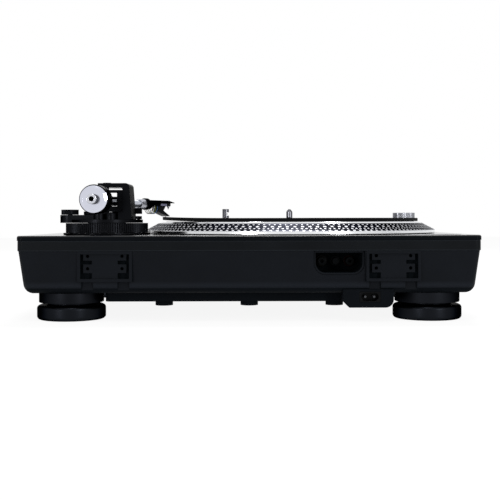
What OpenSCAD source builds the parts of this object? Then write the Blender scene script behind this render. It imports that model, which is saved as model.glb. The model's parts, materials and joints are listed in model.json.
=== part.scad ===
// Direct-drive turntable with an S-shaped tonearm.
// Its front faces -Y, its rear faces +Y and the tonearm is on its +X side.
// The origin is on the table, under the middle of the plinth.

/* [Plinth] */
// Width of the top deck
body_w = 450; // [440:1:500]
// Depth of the top deck
body_d = 352; // [346:1:400]
// Corner radius of the deck and the band
corner_r = 6; // [4:0.5:12]
// Thickness of the top deck
deck_t = 4.9; // [4:0.1:8]
// Height of the chassis band under the deck
band_h = 10.1; // [9:0.1:16]
// Band from the deck's edge
band_inset = 0.5; // [0:0.1:2]
// Wall of the chassis band
band_wall = 6; // [4:0.5:10]
// Thickness of the chassis tray
tray_t = 3; // [2:0.1:4]
// Space between the tray and the deck
tray_gap = 4.5; // [3:0.1:5]
// Height of the lower tub
tub_h = 41.4; // [40:0.1:60]
// Tub's top from the deck's edge
tub_inset = 1.2; // [0.6:0.1:3]
// Lean of the tub's sides, inward at the bottom
tub_draft = 3; // [1:0.1:6]
// Radius of the tub's lower edge
tub_edge_r = 10; // [6:0.5:14]
// Wall of the tub
tub_wall = 4; // [3.5:0.1:6]
// Floor of the tub
tub_floor = 4; // [3:0.1:6]
// Lip of the floor inside the pan's ends
floor_lip_w = 18.3; // [12:0.1:30]
// Lip of the floor inside the pan's long edges
floor_lip_d = 34; // [30:0.5:50]

/* [Feet] */
// Foot's axis from the deck's edges
foot_inset = 45; // [42:0.5:55]
// Radius of a foot's disc
foot_r = 34.3; // [30:0.1:38]
// Height of a foot's disc
foot_disc_h = 14.5; // [10:0.5:20]
// Rounding of the disc's edges
foot_edge_r = 3.5; // [1:0.5:5]
// Gap between the disc and the collar
foot_gap = 2.5; // [1.5:0.1:5]
// Radius of the foot's neck
neck_r = 24; // [18:0.5:25]
// Room above the neck, for screwing the foot in
neck_room = 4; // [3:0.5:6]
// Radius of the collar under the tub
collar_r = 32.4; // [28:0.1:36]
// Height of the collar
collar_h = 11; // [8:0.5:16]
// Clearance between the neck and the collar
neck_clear = 1; // [0.4:0.1:3]
// Radius of the screw stem
stem_r = 5; // [3:0.5:6]
// Reach of the stem above the tub's underside
stem_reach = 27; // [15:1:30]
// Running clearance of the stem
stem_clear = 0.08; // [0.05:0.01:0.1]
// Wall of the boss around the stem
stem_boss_wall = 7; // [3:0.5:10]
// Height of the stem boss above the tub's underside
stem_boss_h = 34; // [30:1:38]

/* [Bottom pan] */
// Drop of the pan below the tub
pan_drop = 9.5; // [6:0.5:10]
// Wall and floor of the pan
pan_wall = 2; // [1.5:0.1:3]
// Pan's ends from the foot collars
pan_gap = 4.3; // [1:0.1:15]
// Pan's long edges from the deck's edges
pan_inset = 26; // [24:0.5:40]
// Radius of a screw boss under the pan
pan_boss_r = 8.8; // [7:0.1:10]
// Drop of a boss below the pan
pan_boss_drop = 4.5; // [2:0.5:6]
// Pitch of the bosses along X
pan_boss_pitch = 85.5; // [60:0.5:100]
// Boss from the pan's long edge
pan_boss_inset = 12; // [10:0.5:16]
// Radius of the pillar inside the pan, around a screw
pan_pillar_r = 6; // [5:0.1:8]
// Radius of a pan screw's shank
screw_r = 2; // [1.5:0.1:2.5]
// Clearance around a pan screw
screw_clear = 0.1; // [0.05:0.01:0.2]
// Radius of a pan screw's head
screw_head_r = 3.8; // [3:0.1:5]
// Height of a pan screw's head
screw_head_h = 2.4; // [1.5:0.1:3]
// Depth of the recess for a screw's head
screw_sink = 3.2; // [2.6:0.1:4]

/* [Rear fittings] */
// Hinge socket from the deck's side
hinge_inset = 85.7; // [80:0.1:90]
// Width of a hinge socket
socket_w = 53; // [46:0.5:53]
// Height of a hinge socket
socket_h = 29.7; // [26:0.1:33]
// Depth of a hinge socket's block
socket_d = 15; // [12:0.5:20]
// Rim around a hinge socket's recess
socket_rim = 3; // [2:0.1:4]
// Depth of a hinge socket's recess
socket_recess = 6; // [3:0.5:8]
// Pitch of the screw holes along X
hinge_hole_dx = 33.2; // [30:0.1:34]
// Pitch of the screw holes along Z
hinge_hole_dz = 12; // [10:0.1:13]
// Upper screw holes from the socket's top
hinge_hole_top = 4.9; // [4.5:0.1:6]
// Radius of a hinge screw hole
hinge_hole_r = 1.6; // [1:0.1:2]
// Depth of a hinge screw hole
hinge_hole_deep = 10; // [6:0.5:10]
// Side of the pad around a hinge screw hole
hinge_pad = 8.4; // [6:0.1:9]
// Pads below the socket's rim
hinge_pad_sink = 1.5; // [0.5:0.1:2.5]
// Fit of the rear fittings in the tub
rear_fit = 0.15; // [0.1:0.01:0.3]
// Width of a tub channel below a hinge socket
channel_w = 11.5; // [8:0.5:14]
// Channel's centre from the socket's centre
channel_dx = 17.5; // [12:0.5:19]
// Depth of a channel
channel_deep = 2.4; // [1:0.1:3]
// Jack recess from the hinge socket
recess_gap = 3.2; // [3:0.1:8]
// Width of the jack recess
recess_w = 45.2; // [40:0.1:60]
// Height of the jack recess
recess_h = 19.4; // [16:0.1:22]
// Radius of the recess's lower corners
recess_corner_r = 9.5; // [4:0.5:9.5]
// Depth of the jack recess
recess_d = 44; // [36:1:60]
// Wall of the jack box
jack_wall = 2; // [1.5:0.1:2.5]
// Outer radius of a signal jack
jack_r = 4.15; // [3.8:0.05:4.5]
// Bore radius of a signal jack
jack_bore_r = 1.6; // [1:0.1:2]
// Length of a signal jack
jack_len = 9; // [7:0.5:12]
// Radius of a jack's base flange
jack_flange_r = 6; // [5:0.1:6.5]
// Thickness of a jack's base flange
jack_flange_t = 2; // [1:0.1:3]
// Pitch of the jacks
jack_pitch = 14; // [13.2:0.1:15]
// Radius of the earth post
earth_r = 3.4; // [2.5:0.1:4]
// Radius of the earth post's washer
earth_washer_r = 5.1; // [4.2:0.1:6]

/* [Mains inlet] */
// Width of the inlet housing
inlet_w = 49; // [44:0.5:52]
// Depth of the inlet housing
inlet_d = 20; // [16:0.5:22]
// Drop of the housing below the tub
inlet_drop = 14; // [10:0.5:16]
// Housing from the foot collar
inlet_gap = 7.6; // [2:0.1:12]
// Housing from the bottom pan
inlet_pan_gap = 1; // [0.5:0.1:3]
// Chamfer of the housing's inner lower corner
inlet_chamfer = 6; // [2:0.5:8]
// Rounding of the housing's outer lower corner
inlet_round = 8; // [3:0.5:9]
// Width of the mains socket
mains_w = 20.6; // [19.5:0.1:24]
// Height of the mains socket
mains_h = 10.2; // [9.6:0.1:12]
// Depth of the mains socket's block
mains_d = 15; // [13:0.5:16]
// Socket's centre above the housing's bottom
mains_rise = 10.4; // [9:0.1:11]
// Socket's centre from the housing's centre
mains_shift = -1.5; // [-5:0.1:5]
// Depth of the socket's two-lobed cavity
mains_cavity = 11.5; // [9:0.5:12]
// Radius of a lobe of the cavity
mains_lobe_r = 4; // [3.6:0.05:4.3]
// Pitch of the two pins
pin_pitch = 8.6; // [8:0.1:9]
// Radius of a pin
pin_r = 1.2; // [1:0.05:1.5]
// Length of a pin
pin_len = 9; // [6:0.5:10]

/* [Motor and platter] */
// Platter's edge from the left edge
platter_side = 12; // [8:0.5:16]
// Platter's edge from the rear edge
platter_rear = 10; // [4:0.5:14]
// Platter's edge from the front edge
platter_front = 10; // [4:0.5:14]
// Gap between the deck and the platter
platter_gap = 0.5; // [0.4:0.1:4]
// Run of the rim's slope along the radius
rim_run = 17; // [12:0.5:20]
// Height of the platter's rim
rim_h = 12.1; // [9:0.1:14]
// Height of the lower flange
flange_h = 3.1; // [1:0.1:4]
// Thickness of the rim's wall along the radius
rim_wall = 9; // [6:0.5:14]
// Raised bed's edge from the platter's upper edge
bed_inset = 6; // [4:0.5:10]
// Height of the raised bed
bed_h = 0.5; // [0.3:0.1:3]
// Thickness of the platter's top web
web_t = 4.5; // [4:0.1:7]
// Radius of the platter's hub
hub_r = 16; // [12:0.5:20]
// Drop of the hub below the web
hub_drop = 3; // [1:0.5:4]
// Slipmat's edge past the raised bed
mat_over = 4; // [1:0.5:5.5]
// Thickness of the slipmat
mat_t = 3.7; // [1.5:0.1:4]
// Clearance of the slipmat's hole around the spindle
mat_hole_clear = 0.4; // [0.3:0.05:1]
// Radius of the spindle
spindle_r = 3.55; // [3.5:0.01:3.6]
// Rise of the spindle above the slipmat
spindle_rise = 10.5; // [8:0.5:16]
// Length of the spindle's tapered tip
spindle_tip = 3; // [2:0.5:6]
// Radius at the spindle's point
spindle_point_r = 1.2; // [0.6:0.1:2]
// Depth of the spindle below the tray
spindle_deep = 24; // [12:1:30]
// Running clearance of the spindle in its bearing
spindle_clear = 0.03; // [0.01:0.01:0.08]
// Radius of the bearing sleeve
bearing_r = 9; // [7:0.5:11]
// Radius of the bearing's flange
bearing_flange_r = 13; // [11.5:0.5:15]
// Thickness of the bearing's flange
bearing_flange_t = 2; // [1:0.5:3]
// Rise of the sleeve above the tray
bearing_rise = 9; // [5:0.5:10]
// Radius of the stator board
stator_r = 46; // [44:0.5:48]
// Thickness of the stator board
stator_t = 1.6; // [1:0.1:2]
// Number of coils
coil_count = 12; // [6:1:15]
// Radius of the circle of coils
coil_circle_r = 35; // [33:0.5:37]
// Radius of a coil
coil_r = 6.5; // [5:0.1:6.8]
// Height of a coil
coil_h = 8; // [5:0.5:9]
// Inner radius of the rotor's ring magnet
magnet_in_r = 26; // [20:0.5:30]
// Outer radius of the rotor's ring magnet
magnet_out_r = 43; // [40:0.5:46]
// Height of the rotor's ring magnet
magnet_h = 5; // [3:0.5:5.5]
// Clearance of the deck's opening around the stator
well_clear = 4; // [2:0.5:6]

/* [Arm mount] */
// Direction of the arm's pivot from the spindle, in degrees
pivot_dir = 22.2; // [18:0.1:26]
// Arm mount from the right edge
mount_side = 26.8; // [20:0.1:40]
// Height ring from the platter's edge
ring_platter_gap = 5.5; // [4.5:0.5:10]
// Radius of the mount's flange on the deck
mount_flange_r = 46; // [44:0.5:47]
// Thickness of the mount's flange
mount_flange_t = 1.6; // [1:0.1:3]
// Radius of the mount's sleeve
mount_sleeve_r = 30; // [26:0.5:32]
// Radius of the height ring
ring_r = 43.5; // [41:0.5:44]
// Height of the height ring
ring_h = 10; // [8:0.5:14]
// Number of ribs around the height ring
ring_ribs = 112; // [48:1:120]
// Depth of a rib
ring_rib_deep = 0.8; // [0.4:0.1:1.5]
// Clearance between stacked pieces
mount_clear = 0.3; // [0.2:0.05:0.5]
// Clearance of a deck opening
deck_clear = 0.25; // [0.15:0.05:0.6]
// Radius of the arm base's plate
base_r = 38; // [36:0.5:41]
// Thickness of the arm base's plate
base_t = 3.4; // [2.5:0.1:5]
// Radius of the guide spigot under the arm base
spigot_r = 20; // [15:0.5:24]
// Running clearance of the guide spigot
spigot_clear = 0.08; // [0.05:0.01:0.1]
// Length of the guide spigot
spigot_len = 16; // [10:0.5:18]
// Radius of the boss under the gimbal
pivot_boss_r = 15; // [10:0.5:16]
// Gap between the boss and the gimbal ring
pivot_boss_gap = 0.4; // [0.4:0.1:1.5]
// Height of the raised lobes on the arm base
lobe_h = 5; // [3:0.5:7]
// Anti-skate dial along X, from the pivot
skate_x = 39; // [37:0.5:42]
// Anti-skate dial along Y, from the pivot
skate_y = 4; // [0:0.5:6]
// Radius of the anti-skate dial
skate_r = 9.2; // [7:0.1:9.4]
// Height of the anti-skate dial
skate_h = 5.4; // [4:0.1:8]
// Rim of the lobe around the anti-skate dial
skate_rim = 1; // [0.5:0.1:1.5]
// Radius of the anti-skate dial's stem
skate_stem_r = 2.5; // [1.5:0.1:3]
// Length of the anti-skate dial's stem
skate_stem_len = 6; // [3:0.5:7]
// Running clearance of small stems
stem_fit = 0.06; // [0.03:0.01:0.1]
// Height lock along X, from the pivot
lock_x = -34; // [-34.5:0.5:-34]
// Height lock along Y, from the pivot
lock_y = 2; // [-2:0.5:4]
// Radius of the height lock's hub
lock_hub_r = 3.4; // [2.5:0.1:3.6]
// Length of the height lock's lever
lock_len = 13; // [10:0.5:14]
// Width of the height lock's lever
lock_w = 3.6; // [2:0.1:5]
// Height of the height lock's hub
lock_h = 3.4; // [2:0.1:5]
// Radius of the height lock's stem
lock_stem_r = 1.6; // [1:0.1:2]
// Radius of the arm base's two rear bosses
rear_boss_r = 5.9; // [4:0.1:6]
// Rear bosses behind the pivot
rear_boss_y = 28; // [26:0.5:30]
// Pitch of the rear bosses
rear_boss_dx = 12.2; // [12:0.1:14]
// Middle of the rear bosses along X, from the pivot
rear_boss_x = -2.5; // [-3:0.1:3]
// Rise of the rear bosses above the base's plate
rear_boss_h = 6.3; // [4:0.1:7]

/* [Arm bearing] */
// Arm's axis above the deck
arm_rise = 35.6; // [34:0.1:38]
// Bracket's inner face from the pivot
bracket_in = 20.2; // [19.6:0.1:22]
// Thickness of the bracket's post
bracket_post_t = 7; // [5:0.1:8]
// Thickness of the bracket's top bar
bracket_bar_t = 4.4; // [3:0.1:6]
// Bracket's top above the arm's axis
bracket_rise = 18; // [17.5:0.1:22]
// Front edge of the bracket, from the pivot
bracket_front = -10; // [-10:0.5:-6]
// Rear edge of the bracket, from the pivot
bracket_back = 26; // [20:0.5:28]
// Top bar's end past the pivot
bracket_past = 5.5; // [4:0.1:10]
// Rounding of the bracket's outer corner
bracket_round = 4; // [2:0.5:6]
// Lean of the bracket's outer face, outward at the base
bracket_lean = 2.6; // [0:0.1:4]
// Half-width of the gimbal ring
gimbal_half_w = 17.5; // [16:0.1:17.8]
// Half-width of the gimbal ring's opening
gimbal_open_w = 11.5; // [11:0.1:13]
// Half-height of the gimbal ring
gimbal_half_h = 11.6; // [11:0.1:12.5]
// Half-height of the gimbal ring's opening
gimbal_open_h = 8.8; // [8:0.1:9.5]
// Depth of the gimbal ring
gimbal_d = 14; // [10:0.5:14]
// Radius of the gimbal's pivot pins
gimbal_pin_r = 2; // [1.5:0.1:2.5]
// Depth of a vertical pivot pin in its seat
gimbal_pin_in = 3.4; // [2:0.1:4]
// Running clearance of the pivot pins
pin_fit = 0.05; // [0.02:0.01:0.1]
// Radius of a side pin's head
pin_head_r = 3.4; // [2.8:0.1:4]
// Thickness of a side pin's head
pin_head_t = 1.2; // [0.6:0.1:1.6]
// Radius of the top pivot screw's head
pivot_screw_r = 4.4; // [3:0.1:5]
// Height of the top pivot screw's head
pivot_screw_h = 1.4; // [1:0.1:2]

/* [Tonearm] */
// Reach of the stylus past the spindle
overhang = 15; // [12:0.5:18]
// Radius of the arm tube
tube_r = 4.75; // [4:0.05:5]
// Straight length of the tube from the pivot
tube_straight = 62; // [60:0.5:66]
// Radius of the first bend, away from the platter
bend_out_r = 70; // [50:1:90]
// Angle of the first bend
bend_out = 12; // [8:0.5:16]
// Straight length between the bends
tube_mid = 26; // [15:0.5:35]
// Radius of the second bend, towards the platter
bend_in_r = 55; // [40:1:70]
// Angle of the second bend
bend_in = 38; // [32:0.5:42]
// Radius of the block around the pivot
block_r = 6.5; // [5.6:0.1:7]
// Half-length of the block
block_half = 14; // [10:0.5:16]
// Radius of the block's cross barrel
barrel_r = 4.6; // [3.6:0.1:5.5]
// Gap between the barrel and the gimbal ring
barrel_gap = 0.6; // [0.4:0.1:1]
// Depth of the barrel's bearing holes
barrel_bore = 4; // [3:0.5:5]
// Radius of the rear stub
stub_r = 4.9; // [4.5:0.1:5.2]
// Rear stub's end behind the pivot
stub_len = 94; // [90:0.5:94.5]
// Radius of the hole in the stub's end
stub_hole_r = 2.4; // [1.5:0.1:3]
// Depth of the hole in the stub's end
stub_hole_deep = 18; // [8:1:24]
// Counterweight's front from the pivot
weight_front = 57.8; // [54:0.1:60]
// Length of the counterweight
weight_len = 25.4; // [20:0.1:27]
// Radius of the counterweight
weight_r = 14.5; // [12:0.1:15]
// Edge rounding of the counterweight
weight_edge_r = 1.2; // [0.5:0.1:2]
// Wall of the threaded bush inside the counterweight
bush_wall = 1.6; // [1:0.1:2.5]
// Rim of the bush on which the dial sits
bush_rim = 1.5; // [1:0.1:2]
// Length of the force dial
dial_len = 6; // [4:0.1:8]
// Radius of the force dial
dial_r = 14.2; // [12:0.1:15]
// Running clearance of the counterweight's rings
weight_clear = 0.08; // [0.03:0.01:0.1]
// Gap between the dial and the counterweight
dial_gap = 0.3; // [0.2:0.05:0.5]
// Outer radius of the locking collar
lock_collar_r = 6.2; // [6.2:0.1:7]
// Length of the locking collar
lock_collar_len = 14; // [10:0.5:16]
// How far the collar covers the tube
lock_collar_over = 4; // [3:0.5:6]

/* [Headshell and cartridge] */
// Stylus from the collar's front
stylus_reach = 52; // [48:0.5:54]
// Headshell's end past the stylus
shell_past = 8; // [5:0.5:10]
// Width of the headshell's plate
shell_w = 18; // [17:0.5:20]
// Plate's top above the arm's axis
shell_rise = 5; // [4:0.1:6.5]
// Thickness of the headshell's plate
shell_t = 3.2; // [2.5:0.1:4]
// Radius of the headshell's plug
plug_r = 4.4; // [4:0.05:4.6]
// Length of the headshell's plug inside the collar
plug_len = 9.5; // [6:0.5:9.7]
// Radius of the headshell's shoulder
shoulder_r = 7.5; // [6.6:0.1:8]
// Length of the headshell's shoulder
shoulder_len = 5; // [3:0.5:7]
// Length of the finger lift
lift_len = 14; // [8:0.5:16]
// Thickness of the finger lift's edge
lift_t = 0.8; // [0.5:0.1:2]
// Cartridge's rear behind the stylus
cart_behind = 26; // [24:0.5:28]
// Length of the cartridge's flange
cart_len = 25; // [24:0.5:26]
// Width of the cartridge's flange
cart_w = 16.6; // [15.8:0.1:17]
// Thickness of the cartridge's flange
cart_h = 4; // [3:0.5:5]
// Width of the cartridge's nose
nose_w = 9; // [9:0.1:10]
// Height of the cartridge's nose below its flange
nose_h = 13.4; // [11:0.1:13.8]
// Pitch of the cartridge screws
cart_screw_pitch = 12.7; // [12:0.1:13]
// Radius of a cartridge screw
cart_screw_r = 1.2; // [0.9:0.1:1.3]
// Radius of a cartridge screw's head
cart_screw_head_r = 2; // [1.6:0.1:2.2]
// Height of a cartridge screw's head
cart_screw_head_h = 1.4; // [0.8:0.1:2]
// Cartridge screws behind the stylus
cart_screw_back = 4; // [3.5:0.1:5]
// Sink of a cartridge screw's head in the plate
cart_screw_sink = 1; // [0.8:0.1:1.6]
// Length of a cartridge screw's pointed tail
cart_screw_tail = 3; // [1:0.1:4]
// Radius of a lead wire
wire_r = 0.5; // [0.4:0.05:0.7]
// Drop of the wires' ends below the headshell's plate
wire_drop = 4.2; // [3:0.1:5]
// Pitch of the lead wires
wire_pitch = 2.6; // [2:0.1:3]
// Gap between a wire's end and its terminal
wire_gap = 0.05; // [0.02:0.01:0.2]
// Radius of the stylus
stylus_r = 0.5; // [0.3:0.05:0.8]
// Length of the stylus's cone
stylus_cone = 0.6; // [0.4:0.1:0.6]
// Stylus tip above the slipmat
tip_clear = 2; // [1.4:0.1:2.4]

/* [Arm rest and lift] */
// Arm rest from the pivot
rest_y = 54; // [52:0.5:56]
// Width of the arm rest's carrier
carrier_w = 12; // [9:0.5:14]
// Radius of the arm rest's post
rest_post_r = 3.5; // [2.5:0.1:4.5]
// Depth of the arm rest's cradle
cradle_d = 8; // [6:0.5:10]
// Thickness of the cradle's ledge
cradle_t = 3.2; // [2:0.1:4]
// Gap between the tube and the cradle
cradle_gap = 0.35; // [0.3:0.05:1]
// Thickness of the cradle's outer wall
cradle_wall = 3; // [2:0.1:4]
// Gap between the tube and the cradle's outer wall
cradle_side_gap = 0.8; // [0.5:0.1:2]
// Cradle's outer wall above the arm's axis
cradle_wall_rise = 4.6; // [3:0.1:5.5]
// Length of the arm clip
clip_len = 16; // [13:0.5:18]
// Width of the arm clip
clip_w = 3.2; // [2.4:0.1:3.4]
// Thickness of the arm clip
clip_t = 1.6; // [1:0.1:2.5]
// Gap between the closed clip and the tube
clip_gap = 0.5; // [0.3:0.1:1]
// Radius of the clip's pin
clip_pin_r = 0.9; // [0.6:0.1:1.1]
// Depth of the clip's pin in the wall
clip_pin_len = 4; // [2:0.5:6]
// Lift bar in front of the pivot
lift_bar_y = 34; // [33:0.5:36]
// Outer end of the lift bar, from the pivot
lift_bar_out = -33; // [-35:0.5:-28]
// Inner end of the lift bar, from the pivot
lift_bar_in = -6.6; // [-9:0.1:-6.2]
// Height of the lift bar
lift_bar_h = 6; // [3:0.5:7]
// Width of the lift bar
lift_bar_w = 4; // [3:0.5:6]
// Gap between the resting tube and the lift bar
lift_bar_gap = 3; // [2:0.1:5]
// Lift rod along X, from the pivot
lift_rod_x = -16; // [-18:0.5:-12]
// Radius of the lift rod
lift_rod_r = 2.5; // [1.8:0.1:3]
// Wall of the guide around the lift rod
lift_guide_wall = 3; // [2:0.1:4]
// Cue lever along X, from the pivot
cue_x = 24; // [20:0.5:26]
// Cue lever's axis in front of the pivot
cue_y = 24; // [22:0.5:26]
// Width of the cue lever's fork
cue_fork_w = 10; // [8:0.5:12]
// Thickness of one ear of the fork
cue_ear = 2.4; // [1.5:0.1:3]
// Depth of the fork
cue_fork_d = 8; // [6:0.5:9]
// Cue lever's axis above the base plate
cue_rise = 6; // [5:0.1:8]
// Radius of the cue lever's hub
cue_hub_r = 3; // [2:0.1:3.6]
// Radius of the cue lever's axle
cue_axle_r = 1.2; // [0.8:0.1:1.6]
// Length of the cue lever
cue_len = 26; // [18:0.5:30]
// Radius of the cue lever's rod
cue_rod_r = 1.5; // [1:0.1:2]
// Radius of the cue lever's tip
cue_tip_r = 2.6; // [2:0.1:3.5]
// Rise of the resting cue lever, in degrees
cue_tilt = 14; // [12:1:20]
// Gap between the lever's hub and an ear
cue_side_gap = 0.3; // [0.2:0.05:0.5]

/* [Controls] */
// Start button from the left edge
start_x = 30; // [26:0.5:40]
// Start button from the front edge
start_y = 19; // [18:0.5:22]
// Width of the start button
start_w = 32; // [24:0.5:34]
// Depth of the start button
start_d = 22; // [18:0.5:24]
// First speed button from the left edge
speed_x = 66; // [62:0.5:80]
// Pitch of the speed buttons
speed_pitch = 24; // [21:0.5:30]
// Speed buttons from the front edge
speed_y = 14; // [11:0.5:16]
// Width of a speed button
speed_w = 18; // [14:0.5:20]
// Depth of a speed button
speed_d = 10; // [8:0.5:12]
// Rise of a button above the deck
button_rise = 2.2; // [1.8:0.1:3]
// Depth of a button below the deck's surface
button_deep = 6; // [4.5:0.1:6.2]
// Fit of a button in the deck
button_fit = 0.2; // [0.15:0.05:0.3]
// Fader from the right edge
fader_side = 28; // [24:0.5:34]
// Fader's middle from the front edge
fader_front = 84; // [82:0.5:95]
// Half of the fader's travel
fader_half = 50; // [40:0.5:52]
// Width of the fader's slot
fader_slot_w = 6; // [4:0.5:8]
// Width of the fader's panel
fader_panel_w = 34; // [28:0.5:38]
// Margin of the panel beyond the slot's ends
fader_margin = 14; // [10:0.5:18]
// Thickness of the fader's panel
fader_panel_t = 0.8; // [0.5:0.1:1.5]
// Width of the fader's knob
fader_knob_w = 26; // [20:0.5:28]
// Length of the fader's knob along its travel
fader_knob_d = 13; // [9:0.5:16]
// Height of the fader's knob
fader_knob_h = 9; // [6:0.5:12]
// Gap between the knob and its panel
fader_knob_gap = 0.3; // [0.2:0.05:0.6]
// Width of the fader's stem
fader_stem_w = 4; // [2.5:0.1:5]
// Length of the fader's stem along its travel
fader_stem_d = 6; // [4:0.5:8]
// Width of the fader's track
fader_track_w = 12; // [9:0.5:16]
// Height of the fader's track
fader_track_h = 4.2; // [3:0.1:4.4]
// Quartz button from the fader's centre line
quartz_side = 27; // [25:0.5:32]
// Width of the quartz button
quartz_w = 8; // [6:0.5:9]
// Depth of the quartz button
quartz_d = 12; // [8:0.5:16]
// Strobe tower from the left edge
tower_x = 22; // [19:0.5:24]
// Strobe tower from the front edge
tower_y = 50; // [48:0.5:54]
// Radius of the strobe tower
tower_r = 13; // [11:0.5:14]
// Height of the strobe tower
tower_h = 15.5; // [12:0.5:18]
// Radius of the power knob
knob_r = 14.2; // [12:0.1:15]
// Height of the power knob
knob_h = 8; // [6:0.5:12]
// Gap between the knob and the tower
knob_gap = 0.3; // [0.2:0.05:0.5]
// Radius of the power knob's stem
knob_stem_r = 3; // [2:0.1:4]
// Length of the power knob's stem
knob_stem_len = 8; // [5:0.5:10]
// Width of the strobe window
window_w = 9; // [6:0.5:10]
// Height of the strobe window
window_h = 7; // [4:0.5:8]
// Depth of the strobe window
window_deep = 4; // [2:0.5:5]
// Direction of the target light from the spindle, in degrees
target_dir = -63.3; // [-70:0.1:-55]
// Target light from the platter's edge
target_gap = 4.3; // [3:0.1:8]
// Radius of the target light
target_r = 4.35; // [3.5:0.05:5]
// Height of the raised target light above the deck
target_rise = 29.6; // [20:0.1:32]
// Depth of the target light below the deck
target_deep = 10; // [8:0.5:10.5]
// Height of the target light's window
target_window = 4.4; // [3:0.1:6]
// Window's back from the target light's axis
target_window_in = 1.4; // [0:0.1:2]
// Height of the cap above the window
target_cap = 4.4; // [2:0.1:6]
// Adaptor from the left edge
adaptor_x = 32; // [28:0.5:38]
// Adaptor from the rear edge
adaptor_y = 31; // [27:0.5:34]
// Radius of the adaptor
adaptor_r = 19; // [18.8:0.05:19.2]
// Adaptor's top below the deck's surface
adaptor_sink = 0.2; // [0:0.1:1]

/* [Inside] */
// Width of the circuit board
board_w = 150; // [120:1:160]
// Depth of the circuit board
board_d = 90; // [70:1:100]
// Thickness of the circuit board
board_t = 1.6; // [1:0.1:2]
// Height of the board's standoffs
board_rise = 5; // [3:0.5:8]
// Radius of a standoff
standoff_r = 3; // [2:0.5:4]
// Board's centre from the pan's right end
board_side = 103.3; // [95:0.1:115]
// Board's centre along Y
board_y = -40; // [-50:1:-30]
// Side of a chip on the board
chip_w = 16; // [10:1:20]
// Height of a chip
chip_h = 3; // [2:0.5:4]
// Pitch of the chips
chip_pitch = 32; // [22:1:40]
// Width of the transformer's core
core_w = 56; // [46:1:60]
// Depth of the transformer's core
core_d = 30; // [24:1:36]
// Height of the transformer's core
core_h = 36; // [30:1:40]
// Reach of the winding out of the core
winding_out = 8; // [5:0.5:10]
// Transformer's centre from the pan's left end
core_side = 58.3; // [55:0.1:64]
// Transformer along Y
core_y = 60; // [50:1:70]

/* [Hidden] */
$fn = 96;
// Overlap of cuts and joined shapes
eps = 0.01;
// Lap of the tube's straight stretches into its bends, and their slimming
tube_lap = 0.5;
tube_step = 0.02;
// Length that passes clean through a piece
through = 60;
// Smallest rounding inside the tub
least_edge = 1;
// How far a cut starts outside what it cuts
cut = 1;
// Ribs on the small knurled pieces
fine_ribs = 48;
fine_rib_deep = 0.4;
// Corner radius of the controls
button_corner = 2;
// Spare length at each end of the fader's slot
fader_room = 1;
// Floor under the spindle, in its bearing
bearing_floor = 2;
// Floor of the fader's track
track_floor = 1;
// Extra radius of the spindle below the slipmat's top
shaft_step = 0.45;
// Relief groove at the slipmat's top, under the record's seat
groove_r = 3;
groove_low = 0.3;
groove_high = 0.5;

// Levels of the stacked case, from the table up
tub_z = foot_disc_h + foot_gap + collar_h;
band_z = tub_z + tub_h;
deck_z = band_z + band_h;
top_z = deck_z + deck_t;
tray_top = deck_z - tray_gap;
tray_z = tray_top - tray_t;
pan_z = tub_z - pan_drop;

// Edges of the deck
left_x = -body_w / 2;
right_x = body_w / 2;
front_y = -body_d / 2;
rear_y = body_d / 2;

// The platter fills the deck's depth, or the width left beside the arm mount
room_deep = (body_d - platter_front - platter_rear) / 2;
mount_room = (ring_platter_gap + ring_r) * cos(pivot_dir) + mount_flange_r + mount_side;
room_wide = (body_w - platter_side - mount_room) / (1 + cos(pivot_dir));
platter_r = min(room_deep, room_wide);
rim_top_r = platter_r - rim_run;
bed_r = rim_top_r - bed_inset;
mat_r = bed_r + mat_over;

// Levels and place of the platter
platter_x = left_x + platter_side + platter_r;
platter_y = (platter_front - platter_rear) / 2;
platter_z = top_z + platter_gap;
rim_top = platter_z + rim_h;
bed_top = rim_top + bed_h;
mat_top = bed_top + mat_t;
ceiling_z = bed_top - web_t;
spindle_top = mat_top + spindle_rise;
shaft_r = spindle_r + shaft_step;
hub_bore = shaft_r + eps;

// Place and levels of the tonearm
pivot_dist = platter_r + ring_platter_gap + ring_r;
pivot_x = platter_x + pivot_dist * cos(pivot_dir);
pivot_y = platter_y + pivot_dist * sin(pivot_dir);
arm_z = top_z + arm_rise;
ring_z = top_z + mount_flange_t + mount_clear;
base_z = ring_z + ring_h + mount_clear;
base_top = base_z + base_t;
lobe_top = base_top + lobe_h;
bracket_top = arm_z + bracket_rise;
bar_z = bracket_top - bracket_bar_t;
boss_top = arm_z - gimbal_half_h - pivot_boss_gap;
spigot_bore = spigot_r + spigot_clear;

// The arm's path from the pivot, with x forward and y outward
shell_dir = bend_out - bend_in;
path_x = tube_straight + bend_out_r * sin(bend_out) + tube_mid * cos(bend_out)
    + bend_in_r * (sin(bend_out) - sin(shell_dir));
path_y = bend_out_r * (1 - cos(bend_out)) + tube_mid * sin(bend_out)
    + bend_in_r * (cos(shell_dir) - cos(bend_out));
effective_len = pivot_dist + overhang;
path_along = path_x * cos(shell_dir) + path_y * sin(shell_dir);
path_run = sqrt(path_along * path_along - path_x * path_x - path_y * path_y + effective_len * effective_len)
    - path_along;
collar_ahead = lock_collar_len - lock_collar_over;
tube_end = path_run - stylus_reach - collar_ahead;

// Ends of the headshell and the cartridge, from the collar's front
shell_len = stylus_reach + shell_past;
cart_back = stylus_reach - cart_behind;

// Levels of the headshell and the cartridge, from the arm's axis
shell_under = shell_rise - shell_t;
cart_under = shell_under - cart_h;
nose_under = cart_under - nose_h;
tip_z = mat_top + tip_clear - arm_z;
cart_head_z = shell_rise - cart_screw_sink;
// Points of the cartridge's nose, from the stylus and from its underside
nose_ahead = 3;
nose_lip = 0.8;
nose_top_back = 7;
nose_waist_back = 12.5;
nose_waist_h = 7.6;
nose_heel_back = 15;
nose_heel_h = 3;
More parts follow.
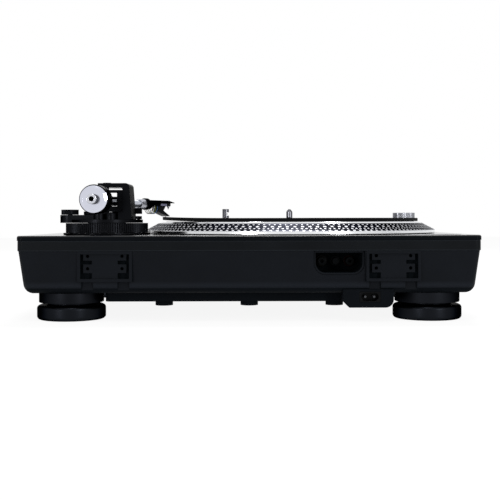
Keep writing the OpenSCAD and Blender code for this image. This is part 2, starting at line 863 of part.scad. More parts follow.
// Webs under the headshell's neck, on each side of the wires
neck_web_y = 5.6;
neck_web_t = 1.4;
neck_web_len = 15;
neck_web_drop = 6.4;

// Counterweight stack, measured rearward from the pivot
bush_r = stub_r + bush_wall;
weight_bore = bush_r + weight_clear;
dial_front = weight_front - dial_gap - dial_len;
bush_front = dial_front - mount_clear - bush_rim;

// Arm rest, lift and cue levels
cradle_top = arm_z - tube_r - cradle_gap;
cradle_in = tube_r + cradle_side_gap;
clip_z = arm_z + tube_r + clip_gap;
lift_bar_top = arm_z - tube_r - lift_bar_gap;
lift_bar_z = lift_bar_top - lift_bar_h;
cue_z = base_top + cue_rise;

// Feet and pan
foot_x = right_x - foot_inset;
foot_y = rear_y - foot_inset;
pan_half_w = foot_x - collar_r - pan_gap;
pan_half_d = rear_y - pan_inset;
pan_boss_y = pan_half_d - pan_boss_inset;
board_x = pan_half_w - board_side;
core_x = core_side - pan_half_w;

// Rear fittings
hinge_x = right_x - hinge_inset;
socket_face = rear_y - band_inset;
socket_z = band_z - socket_h;
recess_x = -(hinge_x - socket_w / 2 - recess_gap - recess_w / 2);
recess_top = band_z - jack_wall;
recess_z = recess_top - recess_h;
jack_back = rear_y - tub_inset - tub_draft - recess_d;
jack_z = recess_z + recess_h / 2;
inlet_x = -(foot_x - collar_r - inlet_gap - inlet_w / 2);
inlet_front = pan_half_d + inlet_pan_gap;
inlet_z = tub_z - inlet_drop;
inlet_top = tub_z + tub_floor - rear_fit;
mains_x = inlet_x + mains_shift;
mains_z = inlet_z + mains_rise;
mains_face = inlet_front + inlet_d;

// Controls
fader_x = right_x - fader_side;
fader_y = front_y + fader_front;
fader_slot_half = fader_half + fader_stem_d / 2 + fader_room;
target_dist = platter_r + target_gap + target_r;
target_x = platter_x + target_dist * cos(target_dir);
target_y = platter_y + target_dist * sin(target_dir);
tower_pos = [left_x + tower_x, front_y + tower_y];
adaptor_pos = [left_x + adaptor_x, rear_y - adaptor_y];
start_pos = [left_x + start_x, front_y + start_y];
speed_33_pos = [left_x + speed_x, front_y + speed_y];
speed_45_pos = [left_x + speed_x + speed_pitch, front_y + speed_y];
quartz_pos = [fader_x - quartz_side, fader_y];

// Colours
case_black = "#17191c";
deck_black = "#0f1114";
trim_black = "#1e2024";
rubber_black = "#141518";
silver = "#c9ccd2";
chrome = "#dfe2e6";
brass = "#b08d4a";

// Rectangle with rounded corners, centred on the origin
module rounded_rect(w, d, r) {
    square([w - 2 * r, d], center = true);
    square([w, d - 2 * r], center = true);
    for (sx = [-1, 1], sy = [-1, 1])
        translate([sx * (w / 2 - r), sy * (d / 2 - r)]) circle(r);
}

// Upright plate with rounded corners in plan
module plate(w, d, h, r) {
    linear_extrude(h) rounded_rect(w, d, r);
}

// Block centred in plan, standing on its base
module block(w, d, h) {
    translate([-w / 2, -d / 2, 0]) cube([w, d, h]);
}

// Upright tube
module tube(h, out_r, in_r) {
    difference() {
        cylinder(h = h, r = out_r);
        translate([0, 0, -eps]) cylinder(h = h + 2 * eps, r = in_r);
    }
}

// Ribbed disc outline with sharp ribs
module ribbed_disc(r, ribs, deep) {
    polygon([for (i = [0 : 2 * ribs - 1])
        let (a = i * 180 / ribs, q = r - (i % 2) * deep) [q * cos(a), q * sin(a)]]);
}

// Upright disc with rounded upper and lower edges
module soft_disc(h, r, edge) {
    rotate_extrude() {
        square([r - edge, h]);
        translate([0, edge]) square([r, h - 2 * edge]);
        for (z = [edge, h - edge])
            translate([r - edge, z]) circle(edge);
    }
}

// Upright round post from a level
module post(z, h, r) {
    translate([0, 0, z]) cylinder(h = h, r = r);
}

// Rod along +X
module rod_x(len, r) {
    rotate([0, 90, 0]) cylinder(h = len, r = r);
}

// Rod along +Y
module rod_y(len, r) {
    rotate([-90, 0, 0]) cylinder(h = len, r = r);
}

// Places children at each foot's axis
module at_feet() {
    for (sx = [-1, 1], sy = [-1, 1])
        translate([sx * foot_x, sy * foot_y, 0]) children();
}

// Places children at each pan screw's axis
module at_pan_bosses() {
    for (column = [-1 : 1], sy = [-1, 1])
        translate([column * pan_boss_pitch, sy * pan_boss_y, 0]) children();
}

// Places children at the arm's pivot, on the table
module at_pivot() {
    translate([pivot_x, pivot_y, 0]) children();
}

// Places children in the arm's frame, with x forward and y outward
module along_arm() {
    translate([pivot_x, pivot_y, arm_z]) rotate([0, 0, -90]) children();
}

// Places children at the end of a bend away from the platter
module after_bend_out() {
    translate([bend_out_r * sin(bend_out), bend_out_r * (1 - cos(bend_out)), 0])
        rotate([0, 0, bend_out]) children();
}

// Places children at the start of the tube's last straight stretch
module at_last_straight() {
    along_arm() translate([path_x, path_y, 0]) rotate([0, 0, shell_dir]) children();
}

// Places children in the headshell's frame, at the collar's front
module at_shell() {
    at_last_straight() translate([tube_end + collar_ahead, 0, 0]) children();
}

// Tub form with leaning sides, shrunk by a wall
module tub_form(wall, floor_z, rise) {
    edge = max(tub_edge_r - wall, least_edge);
    inset = tub_inset + wall;
    low = inset + tub_draft + edge;
    hull() {
        translate([0, 0, band_z - eps])
            linear_extrude(eps + rise, $fn = 32)
                rounded_rect(body_w - 2 * inset, body_d - 2 * inset, corner_r);
        for (sx = [-1, 1], sy = [-1, 1])
            translate([sx * (right_x - low), sy * (rear_y - low), floor_z + edge])
                sphere(edge, $fn = 32);
    }
}

// Recess outline seen from behind, with round lower corners, grown by a wall
module recess_outline(grow) {
    w = recess_w + 2 * grow;
    r = recess_corner_r + grow;
    low = recess_z - grow;
    top = recess_top + grow;
    translate([-w / 2, low + r]) square([w, top - low - r]);
    translate([-w / 2 + r, low]) square([w - 2 * r, r + eps]);
    for (sx = [-1, 1])
        translate([sx * (w / 2 - r), low + r]) circle(r);
}

// Prism of an outline in X and Z, along +Y
module rear_prism(start, len) {
    translate([0, start + len, 0]) rotate([90, 0, 0]) linear_extrude(len) children();
}

// Inlet outline seen from behind, grown by a fit
module inlet_outline(grow) {
    half = inlet_w / 2 + grow;
    low = inlet_z - grow;
    top = inlet_top + grow;
    translate([-half + inlet_round, low]) square([2 * half - inlet_round - inlet_chamfer, top - low]);
    translate([-half, low + inlet_round]) square([inlet_round + eps, top - low - inlet_round]);
    translate([-half + inlet_round, low + inlet_round]) circle(inlet_round);
    polygon([
        [half - inlet_chamfer - eps, low], [half - inlet_chamfer, low],
        [half, low + inlet_chamfer], [half, top], [half - inlet_chamfer - eps, top]
    ]);
}

module lower_tub() color(case_black) {
    cavity_z = tub_z + tub_floor;
    difference() {
        union() {
            difference() {
                tub_form(0, tub_z, 0);
                tub_form(tub_wall, cavity_z, cut);
            }
            at_feet()
                post(cavity_z - eps, stem_boss_h - tub_floor, stem_r + stem_boss_wall);
        }
        at_feet()
            post(tub_z - cut, through, stem_r + stem_clear);
        at_pan_bosses()
            post(tub_z - cut, tub_floor + 2 * cut, screw_r + screw_clear);
        translate([0, 0, tub_z - cut])
            block(2 * (pan_half_w - floor_lip_w), 2 * (pan_half_d - floor_lip_d), tub_floor + 2 * cut);
        for (sx = [-1, 1])
            translate([sx * hinge_x, 0, 0]) {
                translate([0, socket_face - socket_d / 2, socket_z - rear_fit])
                    block(socket_w + 2 * rear_fit, socket_d + 2 * tub_wall, through);
                for (side = [-1, 1])
                    translate([side * channel_dx, rear_y - tub_inset - tub_draft - channel_deep, tub_z - cut])
                        translate([-channel_w / 2, 0, 0])
                            cube([channel_w, tub_edge_r + tub_draft, socket_z - tub_z + 2 * cut]);
            }
        translate([recess_x, 0, 0])
            rear_prism(jack_back + jack_wall, recess_d + tub_edge_r) {
                recess_outline(jack_wall + rear_fit);
                translate([-recess_w / 2 - jack_wall - rear_fit, recess_top])
                    square([recess_w + 2 * (jack_wall + rear_fit), through]);
            }
        translate([inlet_x, 0, 0])
            rear_prism(inlet_front - rear_fit, inlet_d + tub_edge_r) inlet_outline(rear_fit);
    }
}

module upper_chassis() color(case_black) difference() {
    w = body_w - 2 * band_inset;
    d = body_d - 2 * band_inset;
    translate([0, 0, band_z]) plate(w, d, band_h, corner_r);
    for (z = [tray_top, tray_z - through])
        translate([0, 0, z]) plate(w - 2 * band_wall, d - 2 * band_wall, through, corner_r);
    translate([platter_x, platter_y, band_z - cut])
        cylinder(h = band_h, r = bearing_r + deck_clear);
    translate([target_x, target_y, band_z - cut])
        cylinder(h = band_h, r = target_r + deck_clear);
}

// Outline of a button, or of its opening with a fit
module button_outline(w, d, fit) {
    rounded_rect(w + 2 * fit, d + 2 * fit, button_corner + fit);
}

module top_deck() color(deck_black) difference() {
    translate([0, 0, deck_z]) plate(body_w, body_d, deck_t, corner_r);
    translate([0, 0, deck_z - cut]) {
        translate([platter_x, platter_y, 0]) cylinder(h = through, r = stator_r + well_clear);
        at_pivot() cylinder(h = through, r = mount_sleeve_r + deck_clear);
        translate(start_pos) linear_extrude(through) button_outline(start_w, start_d, button_fit);
        for (pos = [speed_33_pos, speed_45_pos])
            translate(pos) linear_extrude(through) button_outline(speed_w, speed_d, button_fit);
        translate(quartz_pos) linear_extrude(through) button_outline(quartz_w, quartz_d, button_fit);
        translate([fader_x, fader_y, 0]) block(fader_slot_w, 2 * fader_slot_half, through);
        translate([target_x, target_y, 0]) cylinder(h = through, r = target_r + stem_fit);
        translate(adaptor_pos) cylinder(h = through, r = adaptor_r + deck_clear);
    }
}

module bottom_plate() color(trim_black) difference() {
    union() {
        difference() {
            translate([0, 0, pan_z]) plate(2 * pan_half_w, 2 * pan_half_d, pan_drop, corner_r);
            translate([0, 0, pan_z + pan_wall])
                plate(2 * (pan_half_w - pan_wall), 2 * (pan_half_d - pan_wall), pan_drop, corner_r);
        }
        at_pan_bosses() {
            post(pan_z - pan_boss_drop, pan_boss_drop + eps, pan_boss_r);
            post(pan_z, pan_drop, pan_pillar_r);
        }
    }
    at_pan_bosses() translate([0, 0, pan_z - pan_boss_drop - cut]) {
        cylinder(h = through, r = screw_r + screw_clear);
        cylinder(h = cut + screw_sink, r = screw_head_r + screw_clear);
    }
}

module bottom_screws() color(silver) at_pan_bosses() {
    seat = pan_z - pan_boss_drop + screw_sink;
    post(seat - screw_head_h, screw_head_h, screw_head_r);
    post(seat - eps, tub_z + tub_floor - seat, screw_r);
}

module foot_collars() color(case_black) at_feet()
    translate([0, 0, tub_z - collar_h]) tube(collar_h, collar_r, neck_r + neck_clear);

// One screw foot: disc, neck and stem
module screw_foot(sx, sy) color(rubber_black) translate([sx * foot_x, sy * foot_y, 0]) {
    neck_top = tub_z - neck_room;
    soft_disc(foot_disc_h, foot_r, foot_edge_r);
    post(foot_disc_h - eps, neck_top - foot_disc_h + eps, neck_r);
    post(neck_top - eps, tub_z + stem_reach - neck_top, stem_r);
}

// Places children at each hinge screw hole of a socket centred on x = 0
module at_hinge_holes() {
    for (sx = [-1, 1], row = [0, 1])
        translate([sx * hinge_hole_dx / 2, 0, band_z - hinge_hole_top - row * hinge_hole_dz]) children();
}

// Hinge socket for the dust cover
module hinge_socket(sx) color(case_black) translate([sx * hinge_x, 0, 0]) difference() {
    pad_face = socket_face - hinge_pad_sink;
    union() {
        difference() {
            translate([0, socket_face - socket_d / 2, socket_z]) block(socket_w, socket_d, socket_h);
            translate([0, socket_face, socket_z + socket_rim])
                block(socket_w - 2 * socket_rim, 2 * socket_recess, socket_h - 2 * socket_rim);
        }
        at_hinge_holes()
            translate([-hinge_pad / 2, pad_face - socket_recess, -hinge_pad / 2])
                cube([hinge_pad, socket_recess, hinge_pad]);
        translate([0, pad_face - socket_recess / 2, socket_z])
            block(hinge_hole_dx - hinge_pad + 2 * eps, socket_recess, socket_h);
    }
    at_hinge_holes()
        translate([0, pad_face - hinge_hole_deep, 0]) rod_y(through, hinge_hole_r);
}

module jack_box() color(case_black) translate([recess_x, 0, 0]) difference() {
    mouth = rear_y - tub_inset - tub_draft;
    rear_prism(jack_back, mouth - jack_back) recess_outline(jack_wall);
    rear_prism(jack_back + jack_wall, mouth) recess_outline(0);
}

module output_jacks() color(brass) translate([recess_x, jack_back + jack_wall, jack_z]) {
    for (sx = [-1, 1])
        translate([sx * jack_pitch, 0, 0]) difference() {
            union() {
                rod_y(jack_flange_t, jack_flange_r);
                rod_y(jack_flange_t + jack_len, jack_r);
            }
            translate([0, jack_flange_t, 0]) rod_y(through, jack_bore_r);
        }
    rod_y(jack_flange_t, earth_washer_r);
    rod_y(jack_len, earth_r);
}

module inlet_housing() color(case_black) translate([inlet_x, 0, 0]) difference() {
    rear_prism(inlet_front, inlet_d) inlet_outline(0);
    translate([mains_shift, mains_face - mains_d / 2, mains_z - mains_h / 2 - rear_fit])
        block(mains_w + 2 * rear_fit, mains_d + 2 * eps, mains_h + 2 * rear_fit);
}

module mains_socket() color(rubber_black) translate([mains_x, 0, mains_z]) {
    floor_y = mains_face - mains_cavity;
    difference() {
        translate([0, mains_face - mains_d / 2, -mains_h / 2]) block(mains_w, mains_d, mains_h);
        for (sx = [-1, 1])
            translate([sx * pin_pitch / 2, floor_y, 0]) rod_y(through, mains_lobe_r);
        translate([0, floor_y + through / 2, -mains_lobe_r])
            block(pin_pitch, through, 2 * mains_lobe_r);
    }
    for (sx = [-1, 1])
        translate([sx * pin_pitch / 2, floor_y - eps, 0]) rod_y(pin_len, pin_r);
}

module transformer() color("#6b5a44") translate([core_x, core_y, pan_z + pan_wall]) {
    block(core_w, core_d, core_h);
    translate([0, 0, winding_out])
        block(core_w - 2 * winding_out, core_d + 2 * winding_out, core_h - 2 * winding_out);
}

module circuit_board() color("#1f5a3a") translate([board_x, board_y, pan_z + pan_wall]) {
    translate([0, 0, board_rise]) block(board_w, board_d, board_t);
    for (sx = [-1, 1], sy = [-1, 1])
        translate([sx * (board_w / 2 - standoff_r), sy * (board_d / 2 - standoff_r), 0])
            cylinder(h = board_rise + eps, r = standoff_r);
    for (column = [-1 : 1])
        translate([column * chip_pitch, 0, board_rise + board_t - eps]) block(chip_w, chip_w, chip_h);
}

module stator() color("#2d6b45") translate([platter_x, platter_y, tray_top]) {
    tube(stator_t, stator_r, bearing_flange_r + deck_clear);
    for (i = [0 : coil_count - 1])
        rotate([0, 0, i * 360 / coil_count])
            translate([coil_circle_r, 0, stator_t - eps]) cylinder(h = coil_h, r = coil_r);
}

module spindle_bearing() color(brass) translate([platter_x, platter_y, 0]) difference() {
    union() {
        post(tray_top - spindle_deep - tray_t, spindle_deep + tray_t + bearing_rise, bearing_r);
        post(tray_top, bearing_flange_t, bearing_flange_r);
    }
    post(tray_z - spindle_deep + bearing_floor, through, shaft_r + spindle_clear);
}

module rotor_magnet() color("#3a3c40") translate([platter_x, platter_y, ceiling_z - magnet_h])
    tube(magnet_h, magnet_out_r, magnet_in_r);

module spindle() color(chrome) translate([platter_x, platter_y, 0]) {
    foot_z = tray_z - spindle_deep + bearing_floor + mount_clear;
    groove_z = mat_top - groove_low;
    seat_z = mat_top + groove_high;
    tip_start = spindle_top - spindle_tip;
    post(foot_z, groove_z - foot_z, shaft_r);
    post(groove_z - eps, seat_z - groove_z + 2 * eps, groove_r);
    post(seat_z, tip_start - seat_z, spindle_r);
    translate([0, 0, tip_start]) cylinder(h = spindle_tip, r1 = spindle_r, r2 = spindle_point_r);
}

module platter() color(silver) translate([platter_x, platter_y, 0]) {
    hub_z = ceiling_z - hub_drop;
    slope = (platter_r - rim_top_r) / (rim_h - flange_h);
    lean = (ceiling_z - platter_z) * slope;
    rotate_extrude($fn = 180) polygon([
        [hub_bore, hub_z], [hub_r, hub_z], [hub_r, ceiling_z],
        [platter_r - rim_wall - lean, ceiling_z], [platter_r - rim_wall, platter_z],
        [platter_r, platter_z], [platter_r, platter_z + flange_h], [rim_top_r, rim_top],
        [bed_r, rim_top], [bed_r, bed_top], [hub_bore, bed_top]
    ]);
}

module slipmat() color("#0d0e10") translate([platter_x, platter_y, bed_top])
    tube(mat_t, mat_r, shaft_r + mat_hole_clear);

module arm_mount() color(trim_black) at_pivot() difference() {
    union() {
        post(top_z, mount_flange_t, mount_flange_r);
        post(tray_top, ring_z + ring_h - tray_top, mount_sleeve_r);
    }
    post(tray_top - cut, through, spigot_bore);
}

module height_ring() color(trim_black) at_pivot() translate([0, 0, ring_z]) difference() {
    linear_extrude(ring_h) ribbed_disc(ring_r, ring_ribs, ring_rib_deep);
    post(-cut, through, mount_sleeve_r + mount_clear);
}

module arm_base() color(trim_black) at_pivot() difference() {
    lift_guide_r = lift_rod_r + lift_guide_wall;
    skate_lobe_r = skate_r + skate_rim;
    union() {
        translate([0, 0, base_z]) {
            cylinder(h = base_t, r = base_r);
            translate([-carrier_w / 2, -rest_y - carrier_w / 2, 0]) cube([carrier_w, rest_y, base_t]);
            translate([lift_rod_x, -lift_bar_y, 0]) cylinder(h = base_t + lobe_h, r = lift_guide_r);
            translate([skate_x, skate_y, 0]) cylinder(h = base_t + lobe_h, r = skate_lobe_r);
            translate([0, skate_y - skate_lobe_r, 0]) cube([skate_x, 2 * skate_lobe_r, base_t + lobe_h]);
            for (sx = [-1, 1])
                translate([rear_boss_x + sx * rear_boss_dx / 2, rear_boss_y, 0])
                    cylinder(h = base_t + rear_boss_h, r = rear_boss_r);
        }
        post(base_z - spigot_len, spigot_len + eps, spigot_r);
        post(base_z, boss_top - base_z, pivot_boss_r);
        for (sx = [-1, 1])
            translate([cue_x + sx * (cue_fork_w - cue_ear) / 2, -cue_y, base_z])
                block(cue_ear, cue_fork_d, cue_z + cue_hub_r - base_z);
    }
    post(boss_top - gimbal_pin_in - mount_clear, through, gimbal_pin_r + pin_fit);
    translate([lift_rod_x, -lift_bar_y, base_z - cut]) cylinder(h = through, r = lift_rod_r + stem_fit);
    translate([skate_x, skate_y, lobe_top - skate_stem_len - mount_clear])
        cylinder(h = through, r = skate_stem_r + stem_fit);
    translate([lock_x, lock_y, base_z - cut]) cylinder(h = through, r = lock_stem_r + stem_fit);
    translate([cue_x - cue_fork_w, -cue_y, cue_z]) rod_x(2 * cue_fork_w, cue_axle_r + stem_fit);
}

module height_lock() color(deck_black) at_pivot() translate([lock_x, lock_y, 0]) {
    seat = base_top + mount_clear;
    post(seat, lock_h, lock_hub_r);
    translate([0, lock_len / 2, seat]) block(lock_w, lock_len, lock_h);
    translate([0, lock_len, seat]) cylinder(h = lock_h, r = lock_w / 2);
    post(base_z, seat - base_z + eps, lock_stem_r);
}

module bearing_bracket() color(trim_black) at_pivot() difference() {
    outer = bracket_in + bracket_post_t;
    depth = bracket_back - bracket_front;
    translate([0, bracket_back, 0]) rotate([90, 0, 0]) linear_extrude(depth) {
        polygon([
            [-outer - bracket_lean, base_top], [-bracket_in, base_top],
            [-bracket_in, bracket_top - bracket_round], [-outer, bracket_top - bracket_round]
        ]);
        translate([-bracket_in - eps, base_top])
            square([bracket_in - pivot_boss_r - mount_clear + eps, boss_top - base_top]);
        translate([-outer + bracket_round, bar_z])
            square([outer - bracket_round + bracket_past, bracket_bar_t]);
        translate([-outer + bracket_round, bracket_top - bracket_round]) circle(bracket_round);
        translate([-outer + bracket_round - eps, bar_z - bracket_round])
            square([bracket_post_t - bracket_round + eps, bracket_round + eps]);
    }
    post(bar_z - cut, through, gimbal_pin_r + pin_fit);
}

module pivot_screw() color(silver) at_pivot() {
    translate([0, 0, bracket_top]) linear_extrude(pivot_screw_h)
        ribbed_disc(pivot_screw_r, fine_ribs / 2, fine_rib_deep);
    shank_z = arm_z + gimbal_half_h + gimbal_pin_in + mount_clear;
    post(shank_z, bracket_top - shank_z + eps, gimbal_pin_r);
}

module gimbal_ring() color(trim_black) at_pivot() translate([0, 0, arm_z]) difference() {
    translate([0, 0, -gimbal_half_h]) block(2 * gimbal_half_w, gimbal_d, 2 * gimbal_half_h);
    translate([0, 0, -gimbal_open_h]) block(2 * gimbal_open_w, 2 * gimbal_d, 2 * gimbal_open_h);
    translate([-through / 2, 0, 0]) rod_x(through, gimbal_pin_r);
}

module gimbal_pins() color(chrome) at_pivot() translate([0, 0, arm_z]) {
    barrel_half = gimbal_open_w - barrel_gap;
    pin_tip = barrel_half - barrel_bore + mount_clear;
    for (side = [0, 180])
        rotate([0, 0, side]) {
            translate([pin_tip, 0, 0]) rod_x(gimbal_half_w - pin_tip + eps, gimbal_pin_r);
            translate([gimbal_half_w, 0, 0]) rod_x(pin_head_t, pin_head_r);
        }
    for (flip = [0, 180])
        rotate([flip, 0, 0])
            post(gimbal_half_h, gimbal_pin_in, gimbal_pin_r);
}

module arm_block() color(silver) along_arm() difference() {
    barrel_half = gimbal_open_w - barrel_gap;
    union() {
        translate([-block_half, 0, 0]) rod_x(2 * block_half, block_r);
        translate([0, -barrel_half, 0]) rod_y(2 * barrel_half, barrel_r);
    }
    for (side = [0, 180])
        rotate([0, 0, side])
            translate([0, barrel_half - barrel_bore, 0]) rod_y(through, gimbal_pin_r + pin_fit);
}

// Tube bent away from the platter, starting at the origin along +X
module bend_out_tube() {
    translate([0, bend_out_r, 0]) rotate([0, 0, -90])
        rotate_extrude(angle = bend_out) translate([bend_out_r, 0]) circle(tube_r);
}

// Tube bent towards the platter, starting at the origin along +X
module bend_in_tube() {
    translate([0, -bend_in_r, 0]) rotate([0, 0, 90 - bend_in])
        rotate_extrude(angle = bend_in) translate([bend_in_r, 0]) circle(tube_r);
}

// Straight stretch of the tube that laps into its bends
module straight_tube(len, lap_end) {
    translate([-tube_lap, 0, 0]) rod_x(tube_lap + len + lap_end, tube_r - tube_step);
}

module arm_tube() color(silver) {
    along_arm() {
        translate([block_half, 0, 0])
            rod_x(tube_straight - block_half + tube_lap, tube_r - tube_step);
        translate([tube_straight, 0, 0]) {
            bend_out_tube();
            after_bend_out() {
                straight_tube(tube_mid, tube_lap);
                translate([tube_mid, 0, 0]) bend_in_tube();
            }
        }
    }
    at_last_straight() straight_tube(tube_end, 0);
}

module arm_stub() color(chrome) at_pivot() translate([0, block_half, arm_z]) difference() {
    rod_y(stub_len - block_half, stub_r);
    translate([0, stub_len - block_half - stub_hole_deep, 0]) rod_y(through, stub_hole_r);
}

// Ring along +Y, drawn from a start behind the pivot
module rear_ring(start, len, out_r, in_r) {
    at_pivot() translate([0, start, arm_z]) rotate([-90, 0, 0]) tube(len, out_r, in_r);
}

module weight_bush() color(trim_black) {
    bore = stub_r + weight_clear;
    rear_ring(bush_front, weight_front + weight_len - weight_edge_r - bush_front, bush_r, bore);
    rear_ring(bush_front, bush_rim, bush_r + bush_rim, bore);
}

module force_dial() color(deck_black)
    at_pivot() translate([0, dial_front, arm_z]) rotate([-90, 0, 0]) difference() {
        linear_extrude(dial_len) ribbed_disc(dial_r, fine_ribs, fine_rib_deep);
        post(-cut, through, weight_bore);
    }

module counterweight() color(silver)
    at_pivot() translate([0, weight_front, arm_z]) rotate([-90, 0, 0]) difference() {
        soft_disc(weight_len, weight_r, weight_edge_r);
        post(-cut, through, weight_bore);
    }

module locking_collar() color(chrome) at_last_straight()
    translate([tube_end - lock_collar_over, 0, 0]) rotate([0, 90, 0]) difference() {
        linear_extrude(lock_collar_len) ribbed_disc(lock_collar_r, fine_ribs, fine_rib_deep);
        post(-cut, through, tube_r + pin_fit);
    }

// Places children at each cartridge screw's axis, at a level from the arm's axis
module at_cart_screws(z) {
    for (sy = [-1, 1])
        translate([stylus_reach - cart_screw_back, sy * cart_screw_pitch / 2, z]) children();
}

module headshell() color(deck_black) at_shell() {
    translate([-plug_len, 0, 0]) rod_x(plug_len + shoulder_len, plug_r);
    translate([mount_clear, 0, 0]) rod_x(shoulder_len, shoulder_r);
    difference() {
        rear_prism(-shell_w / 2, shell_w) polygon([
            [shoulder_len / 2, shell_under], [shell_len, shell_under], [shell_len, shell_under + lift_t],
            [shell_len - lift_len, shell_rise], [shoulder_len / 2, shell_rise]
        ]);
        at_cart_screws(shell_under - cut) cylinder(h = through, r = cart_screw_r + stem_fit);
        at_cart_screws(cart_head_z) cylinder(h = through, r = cart_screw_head_r + mount_clear);
    }
    for (sy = [-1, 1])
        rear_prism(sy * neck_web_y - neck_web_t / 2, neck_web_t) polygon([
            [shoulder_len, shell_under + eps], [shoulder_len, -neck_web_drop],
            [shoulder_len + neck_web_len, shell_under + eps]
        ]);
}

module cartridge() color(trim_black) at_shell() difference() {
    union() {
        translate([cart_back, -cart_w / 2, cart_under]) cube([cart_len, cart_w, cart_h]);
        rear_prism(-nose_w / 2, nose_w) polygon([
            [cart_back, cart_under + eps], [cart_back, nose_under + 2 * nose_heel_h],
            [stylus_reach - nose_heel_back, nose_under + nose_heel_h],
            [stylus_reach - nose_ahead, nose_under], [stylus_reach + nose_ahead, nose_under],
            [stylus_reach + nose_ahead, nose_under + nose_lip],
            [stylus_reach - nose_waist_back, nose_under + nose_waist_h],
            [stylus_reach - nose_top_back, cart_under + eps]
        ]);
    }
    at_cart_screws(cart_under - cut) cylinder(h = through, r = cart_screw_r + stem_fit);
}

module stylus() color(silver) at_shell() translate([stylus_reach, 0, tip_z]) {
    post(stylus_cone, nose_under - tip_z - stylus_cone, stylus_r);
    cylinder(h = stylus_cone + eps, r1 = stylus_r / 5, r2 = stylus_r);
}

module cartridge_screws() color(silver) at_shell() at_cart_screws(0) {
    nut_z = cart_under - cart_screw_head_h;
    for (z = [nut_z, cart_head_z])
        post(z, cart_screw_head_h, cart_screw_head_r);
    post(nut_z, cart_head_z - nut_z + eps, cart_screw_r);
    translate([0, 0, nut_z - cart_screw_tail])
        cylinder(h = cart_screw_tail + eps, r1 = cart_screw_r / 4, r2 = cart_screw_r);
}

module lead_wires() color("#c03a3a") at_shell() {
    start = shoulder_len + mount_clear;
    middle = (start + cart_back) / 2;
    loop_r = (cart_back - start) / 2 - wire_r - wire_gap;
    for (i = [-1.5 : 1 : 1.5])
        translate([middle, i * wire_pitch, shell_under - wire_drop])
            rotate([90, 0, 0]) rotate([0, 0, 180])
                rotate_extrude(angle = 180) translate([loop_r, 0]) circle(wire_r, $fn = 24);
}

module arm_rest() color(trim_black) at_pivot() translate([0, -rest_y, 0]) difference() {
    union() {
        post(base_top, cradle_top - base_top, rest_post_r);
        translate([-cradle_in, -cradle_d / 2, cradle_top - cradle_t])
            cube([2 * cradle_in + cradle_wall, cradle_d, cradle_t]);
        translate([cradle_in, -cradle_d / 2, cradle_top - cradle_t])
            cube([cradle_wall, cradle_d, arm_z + cradle_wall_rise - cradle_top + cradle_t]);
    }
    translate([cradle_in + cradle_wall / 2, 0, arm_z + cradle_wall_rise - clip_pin_len - mount_clear])
        cylinder(h = through, r = clip_pin_r + stem_fit);
}

module arm_clip() color(trim_black) at_pivot() translate([cradle_in + cradle_wall / 2, -rest_y, 0]) {
    post(clip_z, clip_t, clip_w / 2);
    translate([0, clip_len / 2, clip_z]) block(clip_w, clip_len, clip_t);
    pin_z = arm_z + cradle_wall_rise - clip_pin_len;
    post(pin_z, clip_z - pin_z + eps, clip_pin_r);
}

module lift_bar() color(trim_black) at_pivot() translate([0, -lift_bar_y, 0]) {
    translate([(lift_bar_out + lift_bar_in) / 2, 0, lift_bar_z])
        block(lift_bar_in - lift_bar_out, lift_bar_w, lift_bar_h);
    translate([lift_rod_x, 0, base_z + mount_clear])
        cylinder(h = lift_bar_z - base_z - mount_clear + eps, r = lift_rod_r);
}

module cue_lever() color(silver) at_pivot() translate([cue_x, -cue_y, cue_z]) {
    hub_len = cue_fork_w - 2 * cue_ear - 2 * cue_side_gap;
    translate([-hub_len / 2, 0, 0]) rod_x(hub_len, cue_hub_r);
    translate([-cue_fork_w / 2, 0, 0]) rod_x(cue_fork_w, cue_axle_r);
    rotate([-cue_tilt, 0, 0]) rotate([90, 0, 0]) {
        cylinder(h = cue_len, r = cue_rod_r);
        translate([0, 0, cue_len]) sphere(cue_tip_r);
    }
}

module antiskate_dial() color(silver) at_pivot() translate([skate_x, skate_y, lobe_top + mount_clear]) {
    linear_extrude(skate_h) ribbed_disc(skate_r, fine_ribs, fine_rib_deep);
    post(-skate_stem_len - mount_clear, skate_stem_len + mount_clear + eps, skate_stem_r);
}

// Push button that stands in the deck
module push_button(pos, w, d) {
    translate([pos[0], pos[1], top_z - button_deep])
        linear_extrude(button_deep + button_rise) button_outline(w, d, 0);
}

module start_button() color(silver) push_button(start_pos, start_w, start_d);

module button_33() color(trim_black) push_button(speed_33_pos, speed_w, speed_d);

module button_45() color(trim_black) push_button(speed_45_pos, speed_w, speed_d);

module quartz_button() color(trim_black) push_button(quartz_pos, quartz_w, quartz_d);

module fader_panel() color(trim_black) translate([fader_x, fader_y, top_z]) difference() {
    plate(fader_panel_w, 2 * (fader_slot_half + fader_margin), fader_panel_t, button_corner);
    translate([0, 0, -cut]) block(fader_slot_w, 2 * fader_slot_half, through);
}

module fader_track() color("#4a4d52") translate([fader_x, fader_y, tray_top]) difference() {
    block(fader_track_w, 2 * (fader_slot_half + fader_margin), fader_track_h);
    translate([0, 0, track_floor]) block(fader_stem_w + 2 * button_fit, 2 * fader_slot_half, through);
}

module fader_knob() color(trim_black) translate([fader_x, fader_y, 0]) {
    knob_z = top_z + fader_panel_t + fader_knob_gap;
    stem_z = tray_top + track_floor + mount_clear;
    translate([0, 0, knob_z]) plate(fader_knob_w, fader_knob_d, fader_knob_h, button_corner);
    translate([0, 0, stem_z]) block(fader_stem_w, fader_stem_d, knob_z - stem_z + eps);
}

module strobe_tower() color(trim_black) translate([tower_pos[0], tower_pos[1], top_z]) difference() {
    cylinder(h = tower_h, r = tower_r);
    rotate([0, 0, atan2(platter_y - tower_pos[1], platter_x - tower_pos[0])])
        translate([tower_r - window_deep + through / 2, 0, (tower_h - window_h) / 2])
            block(through, window_w, window_h);
    post(tower_h - knob_stem_len - mount_clear, through, knob_stem_r + stem_fit);
}

